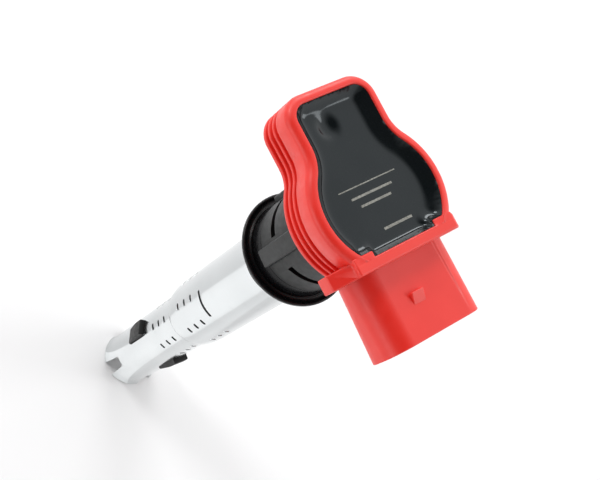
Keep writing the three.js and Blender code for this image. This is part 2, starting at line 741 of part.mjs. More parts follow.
function primaryBobbin() {
  const [low, high] = [CORE_END_Z - 2, CORE_TOP_Z + 1.6];
  const inner = SECONDARY_R + GAP;
  const [barrel, flange] = [inner + BARREL_WALL, PRIMARY_R];
  return turned([
    [inner, low], [flange, low], [flange, low + 1.2], [barrel, low + 1.2],
    [barrel, high - 1.2], [flange, high - 1.2], [flange, high], [inner, high],
  ], 24);
}

// Two layers of thick wire, drawn as a ribbed sleeve.
function primaryWinding() {
  const [low, high] = [CORE_END_Z - 0.4, CORE_TOP_Z];
  const [valley, crest] = [PRIMARY_R - 0.7, PRIMARY_R - 0.3];
  const pitch = (high - low) / PRIMARY_RIBS;
  const outside = Array.from({ length: PRIMARY_RIBS }, (_, i) => [
    [valley, low + i * pitch], [crest, low + (i + 0.5) * pitch],
  ]).flat();
  const inner = SECONDARY_R + GAP + BARREL_WALL + GAP;
  return turned([[inner, low], ...outside, [valley, high], [inner, high]], 20);
}

function coreCap() {
  const base = CORE_TOP_Z + GAP + MAGNET_H + GAP;
  const [top, rim] = [base + CAP_H, CORE_R + 0.2];
  return turned([[0, base], [rim, base], [rim, top - 0.8], [CORE_R - 1, top], [0, top]], 20);
}

// ---------------------------------------------------------------- electronics in the head

function driverBoard() {
  const front = PIN_ROOT_X + GAP;
  const plate = loft([BOARD_Z, BOARD_Z + BOARD_T].map((z) => headRing(-1.0, z, front)));
  return plate.subtract(block(-4.4, 4.4, -7, 7, BOARD_Z - 1, BOARD_Z + 3));
}

function terminalPin(index) {
  const y = pinY(index);
  const [low, high] = [PIN_Z - PIN_T / 2, PIN_Z + PIN_T / 2];
  const [half, tip] = [PIN_W / 2, PIN_W / 2 - PIN_TIP_TAPER * 0.7];
  const shoulder = PIN_TIP_X - PIN_TIP_TAPER;
  const blade = prism([
    [PIN_ROOT_X, y - half], [shoulder, y - half], [PIN_TIP_X, y - tip],
    [PIN_TIP_X, y + tip], [shoulder, y + half], [PIN_ROOT_X, y + half],
  ], low, high);
  return blade.add(block(
    PIN_ROOT_X - PIN_FOOT_L, PIN_ROOT_X + 0.2, y - PIN_FOOT_W / 2, y + PIN_FOOT_W / 2, low, high,
  ));
}

function igniterModule() {
  const body = block(-18.4, -9.4, -5.0, 5.0, CHIP_Z + 0.2, CHIP_Z + 2.8);
  const tab = block(-21.4, -18.0, -4.4, 4.4, CHIP_Z + 0.2, CHIP_Z + 1.0);
  const legs = [-3, 0, 3].map((y) => block(-9.6, -6.2, y - 0.5, y + 0.5, CHIP_Z, CHIP_Z + 0.6));
  return join(body, [tab, ...legs]);
}

function capacitor() {
  const geometry = new THREE.CylinderGeometry(1.9, 1.9, 4.4, 20);
  geometry.translate(-1.0, 10.4, CHIP_Z + 2.0);
  return solid(geometry);
}

function chipResistor(x, y) {
  return block(x - 1.0, x + 1.0, y - 0.6, y + 0.6, CHIP_Z, CHIP_Z + 0.6);
}

function cutOffDiode() {
  const geometry = new THREE.CylinderGeometry(1.3, 1.3, 4.0, 16);
  geometry.rotateZ(Math.PI / 2);
  geometry.translate(-1.4, -10.4, CHIP_Z + 1.4);
  return solid(geometry);
}

// A flat copper strip that carries the primary current from the board to the winding.
function primaryLead(side) {
  const half = LEAD_T / 2;
  const [riserY, footY] = [side * LEAD_Y, side * LEAD_FOOT_Y];
  const riser = block(
    -LEAD_HALF_W, LEAD_HALF_W, riserY - half, riserY + half, LEAD_LOW_Z, CHIP_Z + 1.4,
  );
  return riser.add(block(
    -LEAD_HALF_W, LEAD_HALF_W, Math.min(riserY, footY) - half, Math.max(riserY, footY) + half,
    LEAD_LOW_Z, LEAD_LOW_Z + LEAD_T,
  ));
}

// ---------------------------------------------------------------- assembly

place('head_housing', headHousing(), FINISH.redPlastic);
place('potting_compound', pottingSlab(), FINISH.potting);
place('collar', collar(), FINISH.collar);
place('seal_brim', sealBrim(), FINISH.rubber);
place('upper_sleeve', upperSleeve(), FINISH.sleeve);
place('lower_sleeve', lowerSleeve(), FINISH.sleeve);
place('plug_boot', plugBoot(), FINISH.boot);
place('plug_contact', plugContact(), FINISH.tin);
place('contact_spring', contactSpring(), FINISH.springSteel);
place('suppression_resistor', suppressionResistor(), FINISH.ceramic);
place('hv_terminal', highVoltageTerminal(), FINISH.tin);
place('insulating_case', insulatingCase(), FINISH.casePlastic);
place('iron_core', ironCore(), FINISH.coreSteel);
place('core_magnet_upper', rod(
  CORE_R, CORE_TOP_Z + GAP, CORE_TOP_Z + GAP + MAGNET_H, 20,
), FINISH.magnet);
place('core_magnet_lower', rod(
  CORE_R, CORE_END_Z - GAP - MAGNET_H, CORE_END_Z - GAP, 20,
), FINISH.magnet);
place('core_cap', coreCap(), FINISH.boot);
place('secondary_bobbin', secondaryBobbin(), FINISH.bobbin);
for (let chamber = 0; chamber < SECONDARY_CHAMBERS; chamber += 1) {
  place(`secondary_winding_${chamber + 1}`, secondaryWinding(chamber), FINISH.copper);
}
place('primary_bobbin', primaryBobbin(), FINISH.bobbin);
place('primary_winding', primaryWinding(), FINISH.copper);
place('driver_board', driverBoard(), FINISH.board);
place('igniter_module', igniterModule(), FINISH.chip);
place('filter_capacitor', capacitor(), FINISH.tin);
place('cut_off_diode', cutOffDiode(), FINISH.chip);
place('gate_resistor', chipResistor(-4.6, 10.6), FINISH.chip);
place('sense_resistor', chipResistor(-5.4, -10.0), FINISH.chip);
for (let i = 0; i < PIN_COUNT; i += 1) {
  place(`terminal_pin_${i + 1}`, terminalPin(i), FINISH.tin);
}
place('primary_lead_left', primaryLead(-1), FINISH.copper);
place('primary_lead_right', primaryLead(1), FINISH.copper);

export default object;
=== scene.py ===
import math
from contextlib import contextmanager

import bmesh
import bpy
from mathutils import Matrix, Vector
from mathutils.geometry import delaunay_2d_cdt, intersect_point_line


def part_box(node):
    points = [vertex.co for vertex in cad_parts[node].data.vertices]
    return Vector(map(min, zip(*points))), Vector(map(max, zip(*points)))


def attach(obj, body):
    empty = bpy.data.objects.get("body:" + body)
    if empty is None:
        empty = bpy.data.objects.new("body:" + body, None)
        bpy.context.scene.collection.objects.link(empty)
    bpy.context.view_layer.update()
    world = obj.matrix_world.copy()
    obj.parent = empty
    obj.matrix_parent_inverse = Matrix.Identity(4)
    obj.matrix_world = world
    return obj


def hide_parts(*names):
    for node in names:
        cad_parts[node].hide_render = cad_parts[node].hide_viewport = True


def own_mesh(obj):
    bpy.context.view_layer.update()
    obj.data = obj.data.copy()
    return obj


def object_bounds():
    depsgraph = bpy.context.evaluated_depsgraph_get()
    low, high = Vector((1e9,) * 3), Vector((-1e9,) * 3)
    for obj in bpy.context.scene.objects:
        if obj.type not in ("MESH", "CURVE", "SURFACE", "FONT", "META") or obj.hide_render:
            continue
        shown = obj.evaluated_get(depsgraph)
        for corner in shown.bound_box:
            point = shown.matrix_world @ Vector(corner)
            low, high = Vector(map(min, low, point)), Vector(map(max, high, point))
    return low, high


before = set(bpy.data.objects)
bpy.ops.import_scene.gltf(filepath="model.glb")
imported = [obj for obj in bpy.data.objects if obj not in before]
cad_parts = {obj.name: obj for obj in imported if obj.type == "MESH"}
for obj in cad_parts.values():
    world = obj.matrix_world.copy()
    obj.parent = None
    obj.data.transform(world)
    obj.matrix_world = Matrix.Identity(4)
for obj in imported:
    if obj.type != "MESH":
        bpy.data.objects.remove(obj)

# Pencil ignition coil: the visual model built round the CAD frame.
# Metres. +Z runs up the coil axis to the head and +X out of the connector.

CAD_BOX = [[float(c) for c in corner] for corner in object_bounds()]
MM = 0.001
TINY = 1e-6
TURN = 2 * math.pi
AXIS_Z = Vector((0, 0, 1))

# ---------------------------------------------------------------- sizes

GAP = 0.3 * MM

# head plan: a round lobe over the axis and a narrower squared lobe behind it
LOBE_X = 0.45 * MM
LOBE_R = 15.8 * MM
REAR_HALF_W = 10.4 * MM
REAR_X = -25.2 * MM
REAR_CORNER_R = 3.6 * MM
WAIST_R = 11.1 * MM
HEAD_WALL = 2.4 * MM
RIM_ROUND = 1.8 * MM
RIM_LIP = 0.35 * MM              # small radius on the inner edge of the rim
HEAD_FLOOR = 1.4 * MM
GROOVES = [33.4 * MM, 35.6 * MM, 37.8 * MM]
GROOVE_W = 1.3 * MM
GROOVE_DEPTH = 1.5 * MM
BULKHEAD_X0 = 12.0 * MM
BULKHEAD_X1 = 14.4 * MM
BULKHEAD_HALF_W = 14.9 * MM
BLOCK_X0 = 10.3 * MM
BLOCK_Y0 = 9.2 * MM
TAB_X0 = 10.6 * MM
TAB_Z = (34.5 * MM, 38.6 * MM)
TAB_TOP_Z = 42.2 * MM            # where the tab's sloping top reaches the bulkhead
HEAD_LOW, HEAD_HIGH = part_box("head_housing")
TAB_Y = HEAD_HIGH[1]
HEAD_BASE_Z = 31.2 * MM
RIM_Z = HEAD_HIGH[2]

# connector shroud
MOUTH_X = HEAD_HIGH[0]
SHROUD_HALF_W = 14.1 * MM
SHROUD_Z1 = 40.8 * MM
SHROUD_ROOT_Z0 = 28.1 * MM
SHROUD_MOUTH_Z0 = HEAD_LOW[2]
SHROUD_CORNER_R = 5.8 * MM
SHROUD_WALL = 1.4 * MM
SOCKET_X0 = 17.0 * MM
LATCH_X = 22.4 * MM
LATCH_Y = -2.0 * MM
LATCH_L = 2.8 * MM
LATCH_W = 3.5 * MM
LATCH_H = 1.2 * MM
LATCH_ROOT = 0.4 * MM            # how deep the wedge is set into the shroud
PINS = [f"terminal_pin_{i}" for i in range(1, 5)]

# potting
POTTING_Z = 41.5 * MM
POTTING_BASE_Z = 38.4 * MM
MENISCUS = 2.3 * MM              # how far the potting climbs its walls
MENISCUS_W = 3.6 * MM
MENISCUS_FRONT_W = 1.9 * MM      # steeper beside the bulkhead
MENISCUS_POWER = 2.1
MENISCUS_FRONT_X = 7.5 * MM      # where the steeper part starts
MENISCUS_BLEND = 3.0 * MM
DIMPLE_X = -18.8 * MM            # a dip over the rear lobe
DIMPLE_Y = -2.4 * MM
DIMPLE_HALF_L = 2.7 * MM
DIMPLE_HALF_W = 2.3 * MM
DIMPLE_DEPTH = 0.95 * MM
POTTING_STEP = 0.42 * MM         # grid of its top surface

# collar, seal and sleeves
CASE_R = 9.2 * MM
COLLAR_R = 12.2 * MM
COLLAR_BASE_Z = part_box("collar")[0][2]
COLLAR_TOP_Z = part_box("collar")[1][2]
COLLAR_SLOT_Z = (12.9 * MM, 14.8 * MM)
COLLAR_SLOT_ANGLES = [45, 135, 225, 315]
COLLAR_SLOT_SPAN = 50
COLLAR_SLOT_DEPTH = 2.0 * MM
COLLAR_RIB_R = 13.6 * MM
COLLAR_RIB_W = 4.6 * MM
COLLAR_RIB_ANGLES = [0, 94, 180, 266]
UPPER_R = 10.0 * MM
LOWER_R = 8.6 * MM
SLEEVE_WALL = 0.4 * MM
SLEEVE_TOP_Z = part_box("upper_sleeve")[1][2]
SHOULDER_TOP_Z = -56.5 * MM
SHOULDER_END_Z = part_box("upper_sleeve")[0][2]
LOWER_TOP_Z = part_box("lower_sleeve")[1][2]
TIP_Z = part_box("lower_sleeve")[0][2]
TIP_FLARE = 0.6 * MM
TIP_FLARE_L = 4.0 * MM
SLOT_COLUMNS = 8
SLOTS_PER_COLUMN = 3
SLOT_PITCH = 4.9 * MM
SLOT_H = 1.15 * MM
SLOT_L = 1.9 * MM
UPPER_SLOT_Z = -46.1 * MM
LOWER_SLOT_Z = -71.2 * MM
SLIT_Z = -39.6 * MM
SLIT_ANGLE = -92
SLIT_SPAN = 48
NOTCH_ANGLES = [-90, 0, 90, 180]
NOTCH_TOP_Z = -116.0 * MM
NOTCH_HALF_W = 1.7 * MM
NOTCH_FLARE = 0.5 * MM
NOTCH_CORNER = 0.6 * MM
HOLE_CORNER = 0.24 * MM
WINDOW_CORNER = 1.0 * MM
CORNER_PULL = 0.42               # how far a corner point moves in to round its corner
BRIM_R = 14.8 * MM
SEAT_R = 13.5 * MM
BRIM_H = 2.4 * MM

# boot, contact and spring
BOOT_R = 7.7 * MM
BOOT_TOP_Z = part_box("plug_boot")[1][2]
BOOT_END_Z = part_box("plug_boot")[0][2]
PLUG_BORE_R = 5.4 * MM
SPRING_BORE_R = 4.6 * MM
PAD_ANGLES = [-5, 115, 235]
PAD_TOP_Z = -89.3 * MM
PAD_END_Z = -102.4 * MM
PAD_R = 10.0 * MM
PAD_RAMP_R = 8.9 * MM
PAD_HALF_W = 2.4 * MM
RESISTOR_R = 2.4 * MM
CONTACT_R = 4.2 * MM
CONTACT_BORE_R = 3.3 * MM
CONTACT_ROOF = 1.4 * MM
SPRING_WIRE_R = 0.34 * MM
SPRING_TURNS = 9

# ---------------------------------------------------------------- mesh helpers


def link(name, mesh, material):
    obj = bpy.data.objects.new(name, mesh)
    bpy.context.scene.collection.objects.link(obj)
    mesh.materials.clear()
    mesh.materials.append(material)
    return obj


@contextmanager
def edited(mesh):
    """Opens a mesh for editing and writes it back."""
    bm = bmesh.new()
    bm.from_mesh(mesh)
    yield bm
    bm.to_mesh(mesh)
    bm.free()


def shade(mesh, sharp=32):
    mesh.shade_smooth()
    mesh.set_sharp_from_angle(angle=math.radians(sharp))


def solid(name, verts, faces, material=None, sharp=32):
    """A closed body from points and faces, with doubled points merged and faces turned outward."""
    mesh = bpy.data.meshes.new(name)
    mesh.from_pydata([tuple(v) for v in verts], [], faces)
    with edited(mesh) as bm:
        bmesh.ops.remove_doubles(bm, verts=bm.verts, dist=TINY)
        bmesh.ops.dissolve_degenerate(bm, edges=bm.edges, dist=TINY)
        bmesh.ops.recalc_face_normals(bm, faces=bm.faces)
    shade(mesh, sharp)
    return link(name, mesh, material)


def skin(rings, closed_stack=False):
    """Points and faces of a skin over rings with equal numbers of points."""
    count = len(rings[0])
    verts = [point for ring in rings for point in ring]
    faces = []
    levels = len(rings) if closed_stack else len(rings) - 1
    for level in range(levels):
        low = level * count
        high = ((level + 1) % len(rings)) * count
        for i in range(count):
            j = (i + 1) % count
            faces.append((low + i, low + j, high + j, high + i))
    if not closed_stack:
        faces.append(tuple(reversed(range(count))))
        faces.append(tuple(range((len(rings) - 1) * count, len(rings) * count)))
    return verts, faces


def fillet(points, radius, steps=4, closed=True):
    """Rounds each corner of a flat outline. radius is one number or one for each point."""
    count = len(points)
    radii = [radius] * count if isinstance(radius, (int, float)) else radius
    rounded = []
    for i, (here, r) in enumerate(zip(points, radii)):
        here = Vector(here)
        if r <= 0 or (not closed and i in (0, count - 1)):
            rounded.append(here)
            continue
        before = Vector(points[i - 1]) - here
        after = Vector(points[(i + 1) % count]) - here
        reach = min(r, before.length * 0.49, after.length * 0.49)
        start = here + before.normalized() * reach
        end = here + after.normalized() * reach
        for k in range(steps + 1):
            t = k / steps
            rounded.append(start * (1 - t) ** 2 + here * 2 * t * (1 - t) + end * t ** 2)
    return [tuple(p) for p in rounded]


def turned(name, profile, material, segments=96, radius=0.0, steps=3, sharp=32):
    """A body turned round Z from a closed profile of (radius, z) points."""
    if radius:
        radii = [0 if r < TINY else radius for r, _ in profile]
        profile = fillet(profile, radii, steps)
    rings = []
    for k in range(segments):
        angle = TURN * k / segments
        rings.append([(r * math.cos(angle), r * math.sin(angle), z) for r, z in profile])
    verts, faces = skin(rings, closed_stack=True)
    return solid(name, verts, faces, material, sharp)


def beveled(name, verts, faces, width, segments=3, material=None):
    """A closed body with all its crisp edges rounded."""
    obj = solid(name, verts, faces, material)
    with edited(obj.data) as bm:
        crisp = [e for e in bm.edges if e.calc_face_angle(0) > math.radians(25)]
        bmesh.ops.bevel(bm, geom=crisp, offset=width, segments=segments, profile=0.5,
                        affect="EDGES", clamp_overlap=True)
    shade(obj.data, 40)
    return obj


def box_faces(low, high):
    xs, ys, zs = zip(low, high)
    ring = [(0, 0), (1, 0), (1, 1), (0, 1)]
    return skin([[(xs[i], ys[j], z) for i, j in ring] for z in zs])


def rounded_box(name, low, high, width, segments=3):
    return beveled(name, *box_faces(low, high), width, segments)


def turn_about_z(obj, degrees):
    obj.data.transform(Matrix.Rotation(math.radians(degrees), 4, "Z"))
    return obj


def bake_modifiers(obj):
    graph = bpy.context.evaluated_depsgraph_get()
    graph.update()
    mesh = bpy.data.meshes.new_from_object(obj.evaluated_get(graph))
    obj.modifiers.clear()
    obj.data = mesh


def drop(obj):
    mesh = obj.data
    bpy.data.objects.remove(obj)
    bpy.data.meshes.remove(mesh)


def merged(name, objects, material):
    """One object that holds the meshes of several, which are removed."""
    bm = bmesh.new()
    for obj in objects:
        bm.from_mesh(obj.data)
        drop(obj)
    mesh = bpy.data.meshes.new(name)
    bm.to_mesh(mesh)
    bm.free()
    return link(name, mesh, material)


def combine(target, tools, operation):
    """Joins the tools to the target, or cuts them from it, and removes them."""
    for tool in tools:
        step = target.modifiers.new("step", "BOOLEAN")
        step.operation = operation
        step.solver = "EXACT"
        step.object = tool
        bake_modifiers(target)
        drop(tool)
    return target


def drop_folds(obj, material):
    """Turns a mesh into triangles and drops the pairs that lie folded on each other."""
    mesh = obj.data
    with edited(mesh) as bm:
        bmesh.ops.remove_doubles(bm, verts=bm.verts, dist=TINY)
    mesh.calc_loop_triangles()
    kept = {}
    for triangle in mesh.loop_triangles:
        corners = tuple(triangle.vertices)
        key = frozenset(corners)
        if kept.pop(key, None) is None:
            kept[key] = corners
    plain = bpy.data.meshes.new(mesh.name)
    plain.from_pydata([vert.co for vert in mesh.vertices], [], list(kept.values()))
    plain.materials.append(material)
    obj.data = plain


def finish_surface(obj, material):
    """Shades a body made by booleans, its flat faces kept flat beside the rounds."""
    drop_folds(obj, material)
    shade(obj.data)
    weigh_normals(obj)
    return obj


def weigh_normals(obj):
    weighted = obj.modifiers.new("weighted", "WEIGHTED_NORMAL")
    weighted.keep_sharp = True
    weighted.weight = 80
    bake_modifiers(obj)


def arc(x, y, radius, start, end, steps):
    """Points on an arc, both ends included. Angles are in degrees."""
    angles = [math.radians(start + (end - start) * k / steps) for k in range(steps + 1)]
    return [(x + radius * math.cos(a), y + radius * math.sin(a)) for a in angles]


def seat(piece, slot, *nodes, body="coil"):
    """The piece stands for these CAD nodes, which are hidden, and hangs under the body's empty. slot
    is not used.
    """
    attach(piece, body)
    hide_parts(*nodes)
    return piece


# ---------------------------------------------------------------- materials


class Nodes:
    """A small helper that builds one node material."""

    def __init__(self, name):
        self.material = bpy.data.materials.new(name)
        self.material.use_nodes = True
        self.tree = self.material.node_tree
        self.shader = self.tree.nodes["Principled BSDF"]
        self.coords = self.tree.nodes.new("ShaderNodeTexCoord").outputs["Object"]

    def node(self, kind, inputs=(), **settings):
        """A new node with these inputs, each a value or another node's output."""
        made = self.tree.nodes.new(kind)
        for key, value in settings.items():
            setattr(made, key, value)
        for key, value in dict(inputs).items():
            self.feed(made.inputs[key], value)
        return made

    def feed(self, socket, value):
        if isinstance(value, bpy.types.NodeSocket):
            self.tree.links.new(value, socket)
        elif socket.type == "RGBA":
            socket.default_value = (*value, 1.0)
        else:
            socket.default_value = value

    def stretch(self, scale):
        return self.node("ShaderNodeMapping",
                         {"Scale": scale, "Vector": self.coords}).outputs["Vector"]

    def noise(self, scale, detail=4.0, roughness=0.5, vector=None):
        return self.node("ShaderNodeTexNoise", {
            "Scale": scale, "Detail": detail, "Roughness": roughness,
            "Vector": vector or self.coords}).outputs["Fac"]

    def cells(self, scale):
        return self.node("ShaderNodeTexVoronoi",
                         {"Scale": scale, "Vector": self.coords}).outputs["Distance"]

    def ramp(self, factor, stops):
        made = self.node("ShaderNodeValToRGB", {"Fac": factor})
        elements = made.color_ramp.elements
        while len(elements) < len(stops):
            elements.new(0.5)
        for element, (place, colour) in zip(elements, stops):
            element.position = place
            element.color = (*colour, 1.0)
        return made.outputs["Color"]

    def span(self, factor, low, high, start=0.3, end=0.7):
        """A factor spread between two values."""
        return self.node("ShaderNodeMapRange", {
            "From Min": start, "From Max": end, "To Min": low, "To Max": high,
            "Value": factor}).outputs["Result"]

    def math(self, operation, *values):
        made = self.node("ShaderNodeMath", operation=operation)
        for socket, value in zip(made.inputs, values):
            self.feed(socket, value)
        return made.outputs["Value"]

    def mix(self, factor, first, second):
        made = self.node("ShaderNodeMix", {"Factor": factor}, data_type="RGBA")
        sockets = [s for s in made.inputs if s.type == "RGBA"]
        for socket, value in zip(sockets, (first, second)):
            self.feed(socket, value)
        return next(s for s in made.outputs if s.type == "RGBA")

    def bump(self, layers):
        """Stacks bump layers of (height, strength, distance)."""
        normal = None
        for height, strength, distance in layers:
            made = self.node("ShaderNodeBump", {
                "Strength": strength, "Distance": distance, "Height": height})
            if normal is not None:
                self.feed(made.inputs["Normal"], normal)
            normal = made.outputs["Normal"]
        self.feed(self.shader.inputs["Normal"], normal)

    def edges(self, low=0.5, high=0.56):
        """1 on outward edges, from how the surface bends; the mask for painted edge highlights."""
        pointed = self.node("ShaderNodeNewGeometry").outputs["Pointiness"]
        return self.span(pointed, 0.0, 1.0, low, high)

    def surface(self, colour, roughness):
        self.feed(self.shader.inputs["Base Color"], colour)
        self.feed(self.shader.inputs["Roughness"], roughness)

    def set(self, **values):
        names = {"specular": "Specular IOR Level", "metallic": "Metallic"}
        for key, value in values.items():
            self.shader.inputs[names[key]].default_value = value


def red_plastic():
    """Moulded glass-filled nylon: a faint grain, flow variation and a painted highlight on its
    outward edges.
    """
    n = Nodes("red_plastic")
    flow = n.noise(90, 3)
    grain = n.noise(2600, 3)
    colour = n.ramp(flow, [(0.3, (0.73, 0.018, 0.010)), (0.7, (0.79, 0.025, 0.015))])
    specks = n.span(n.noise(5200, 2), 0.0, 0.12, 0.55, 0.75)
    colour = n.mix(specks, colour, (0.84, 0.06, 0.045))
    # painted highlight: outward edges, found from how the surface bends, mixed towards a lighter red
    colour = n.mix(n.math("MULTIPLY", n.edges(), 0.16), colour, (0.88, 0.10, 0.075))
    n.surface(colour, n.span(n.noise(700, 4), 0.36, 0.46))
    n.bump([(grain, 0.10, 0.00004), (n.noise(260, 2), 0.08, 0.0001)])
    n.set(specular=0.5)
    return n.material


def potting():
    """Cast epoxy, nearly black, with slow ripples left by its cure."""
    n = Nodes("potting")
    slow = n.noise(70, 2)
    colour = n.ramp(slow, [(0.35, (0.004, 0.006, 0.007)), (0.65, (0.007, 0.009, 0.010))])
    dust = n.span(n.noise(3800, 2), 0.0, 0.25, 0.62, 0.75)
    colour = n.mix(dust, colour, (0.03, 0.035, 0.038))
    n.surface(colour, n.span(n.noise(300, 4), 0.09, 0.15))
    n.bump([(slow, 0.10, 0.0002), (n.noise(1800, 3), 0.04, 0.00002)])
    n.set(specular=0.35)
    n.shader.inputs["Specular Tint"].default_value = (0.88, 0.96, 1.0, 1.0)
    return n.material


def ink():
    """Pale printing ink, slightly worn."""
    n = Nodes("marking_ink")
    worn = n.noise(2400, 4)
    colour = n.ramp(worn, [(0.35, (0.16, 0.16, 0.14)), (0.62, (0.30, 0.30, 0.27))])
    n.surface(colour, n.span(worn, 0.5, 0.7))
    n.bump([(worn, 0.1, 0.00003)])
    return n.material


def dark_plastic(name, low, high, roughness, grain_scale, specular=0.5):
    n = Nodes(name)
    flow = n.noise(120, 3)
    colour = n.ramp(flow, [(0.3, low), (0.7, high)])
    # painted highlight: outward edges mixed towards a lighter tone of the plastic
    edge_highlight_colour = tuple(min(1.0, c * 1.7 + 0.004) for c in high)
    colour = n.mix(n.math("MULTIPLY", n.edges(), 0.45), colour, edge_highlight_colour)
    n.surface(colour, n.span(n.noise(grain_scale / 4, 3), *roughness))
    n.bump([(n.noise(grain_scale, 3), 0.16, 0.00005), (n.cells(grain_scale), 0.05, 0.00003)])
    n.set(specular=specular)
    return n.material


def drawn_metal(name, low, high, roughness, lines=0.05):
    """Drawn sheet: fine lines along the axis, faint clouds and a few scuffs."""
    n = Nodes(name)
    along = n.noise(1.0, 5, 0.6, n.stretch((2600, 2600, 30)))
    clouds = n.noise(60, 3)
    scuffs = n.span(n.noise(1.0, 2, 0.5, n.stretch((300, 300, 1500))), 0.0, 1.0, 0.66, 0.78)
    colour = n.ramp(clouds, [(0.3, low), (0.7, high)])
    colour = n.mix(n.math("MULTIPLY", scuffs, 0.15), colour, tuple(c * 0.8 for c in low))
    n.surface(colour, n.math("ADD", n.span(along, *roughness), n.math("MULTIPLY", scuffs, 0.08)))
    n.bump([(along, lines, 0.00003), (clouds, 0.04, 0.0003)])
    n.set(metallic=1.0)
    return n.material


def wound_wire(name, low, high, turns_per_metre):
    """Enamelled wire laid in close turns."""
    n = Nodes(name)
    wave = n.node("ShaderNodeTexWave",
                  {"Scale": turns_per_metre / 20, "Distortion": 0.3, "Vector": n.coords},
                  bands_direction="Z", wave_profile="SIN")
    turns = wave.outputs["Fac"]
    n.surface(n.ramp(turns, [(0.2, low), (0.8, high)]), n.span(n.noise(900, 3), 0.25, 0.4))
    n.bump([(turns, 0.6, 0.0001)])
    n.set(metallic=0.9)
    return n.material


def circuit_board():
    """Green solder mask over a grid of copper tracks."""
    n = Nodes("circuit_board")
    brick = n.node("ShaderNodeTexBrick",
                   {"Scale": 260, "Mortar Size": 0.03, "Vector": n.coords})
    tracks = brick.outputs["Fac"]
    mask = n.ramp(n.noise(400, 3), [(0.3, (0.008, 0.11, 0.04)), (0.7, (0.012, 0.15, 0.05))])
    n.surface(n.mix(tracks, mask, (0.03, 0.24, 0.09)), n.span(n.noise(900, 3), 0.3, 0.45))
    n.bump([(tracks, 0.3, 0.00005), (n.noise(2600, 2), 0.1, 0.00003)])
    return n.material


RED = red_plastic()
POTTING = potting()
INK = ink()
COLLAR = dark_plastic("collar_plastic", (0.010, 0.011, 0.011), (0.016, 0.017, 0.017),
                      (0.40, 0.52), 3000, 0.3)
SEAL = dark_plastic("seal_rubber", (0.003, 0.003, 0.003), (0.005, 0.005, 0.006),
                    (0.22, 0.32), 2200, 0.22)
BOOT = dark_plastic("boot_rubber", (0.004, 0.004, 0.004), (0.007, 0.007, 0.007),
                    (0.45, 0.60), 2600, 0.25)
CASE = dark_plastic("case_plastic", (0.020, 0.021, 0.024), (0.030, 0.031, 0.035),
                    (0.40, 0.55), 2600)
CHIP = dark_plastic("chip_plastic", (0.012, 0.012, 0.013), (0.018, 0.018, 0.020),
                    (0.45, 0.60), 3200)
BOBBIN = dark_plastic("bobbin_plastic", (0.60, 0.55, 0.42), (0.68, 0.63, 0.50),
                      (0.45, 0.60), 2600)
CERAMIC = dark_plastic("ceramic", (0.74, 0.71, 0.63), (0.80, 0.77, 0.70), (0.55, 0.70), 3400)
SLEEVE = drawn_metal("sleeve_metal", (0.575, 0.597, 0.602), (0.625, 0.647, 0.652), (0.13, 0.21))
TIN = drawn_metal("tinned_metal", (0.66, 0.65, 0.61), (0.74, 0.73, 0.69), (0.24, 0.36))
SPRING = drawn_metal("spring_steel", (0.50, 0.52, 0.54), (0.60, 0.62, 0.64), (0.20, 0.32))
CORE = drawn_metal("core_steel", (0.30, 0.31, 0.33), (0.38, 0.39, 0.41), (0.35, 0.50), 0.5)
MAGNET = drawn_metal("magnet", (0.42, 0.43, 0.45), (0.50, 0.51, 0.53), (0.28, 0.38))
COPPER = wound_wire("copper", (0.42, 0.12, 0.03), (0.78, 0.34, 0.14), 1600)
BOARD = circuit_board()

# ---------------------------------------------------------------- head housing


def head_outline(grow, front_x):
    """The plan of the head, moved outward from the inner rim by grow and cut off at front_x."""
    waist_y = REAR_HALF_W + WAIST_R
    waist_x = LOBE_X - math.sqrt((LOBE_R + WAIST_R) ** 2 - waist_y ** 2)
    tangent = math.degrees(math.atan2(waist_y, waist_x - LOBE_X))
    lobe = LOBE_R + grow
    front = math.degrees(math.acos((front_x - LOBE_X) / lobe))
    half = arc(LOBE_X, 0, lobe, front, tangent, 44)
    half += arc(waist_x, waist_y, WAIST_R - grow, tangent + 180, 270, 18)
    corner_x, corner_y = REAR_X + REAR_CORNER_R, REAR_HALF_W - REAR_CORNER_R
    half += arc(corner_x, corner_y, REAR_CORNER_R + grow, 90, 180, 16)
    return half + [(x, -y) for x, y in reversed(half)]


def head_ring(grow, z, front_x):
    return [(x, y, z) for x, y in head_outline(grow, front_x)]


def head_shell():
    levels = [(HEAD_WALL - 0.5 * MM, HEAD_BASE_Z), (HEAD_WALL, HEAD_BASE_Z + 0.5 * MM)]
    radii = [0, 0.4 * MM]
    lean = 0.12 * MM
    for z in GROOVES:
        low, high = z - GROOVE_W / 2, z + GROOVE_W / 2
        levels += [(HEAD_WALL, low), (HEAD_WALL - GROOVE_DEPTH, low + lean),
                   (HEAD_WALL - GROOVE_DEPTH, high - lean), (HEAD_WALL, high)]
        radii += [0.28 * MM, 0.4 * MM, 0.4 * MM, 0.28 * MM]
    profile = fillet(levels, radii, 3, closed=False)
    profile += arc(HEAD_WALL - RIM_ROUND, RIM_Z - RIM_ROUND, RIM_ROUND, 0, 90, 10)
    return solid("shell", *skin([head_ring(g, z, BULKHEAD_X0) for g, z in profile]))


def head_cavity():
    front = BULKHEAD_X0 - TINY
    profile = [(0.0, HEAD_BASE_Z + HEAD_FLOOR)]
    profile += [(RIM_LIP * (1 - math.cos(math.radians(a))),
                 RIM_Z - RIM_LIP * (1 - math.sin(math.radians(a)))) for a in range(0, 91, 18)]
    profile.append((RIM_LIP, RIM_Z + 1 * MM))
    return solid("cavity", *skin([head_ring(g, z, front) for g, z in profile]))


def head_bulkhead():
    low = (BULKHEAD_X0 - GAP, -BULKHEAD_HALF_W, HEAD_BASE_Z)
    high = (BULKHEAD_X1, BULKHEAD_HALF_W, RIM_Z)
    return rounded_box("bulkhead", low, high, 0.55 * MM, 4)


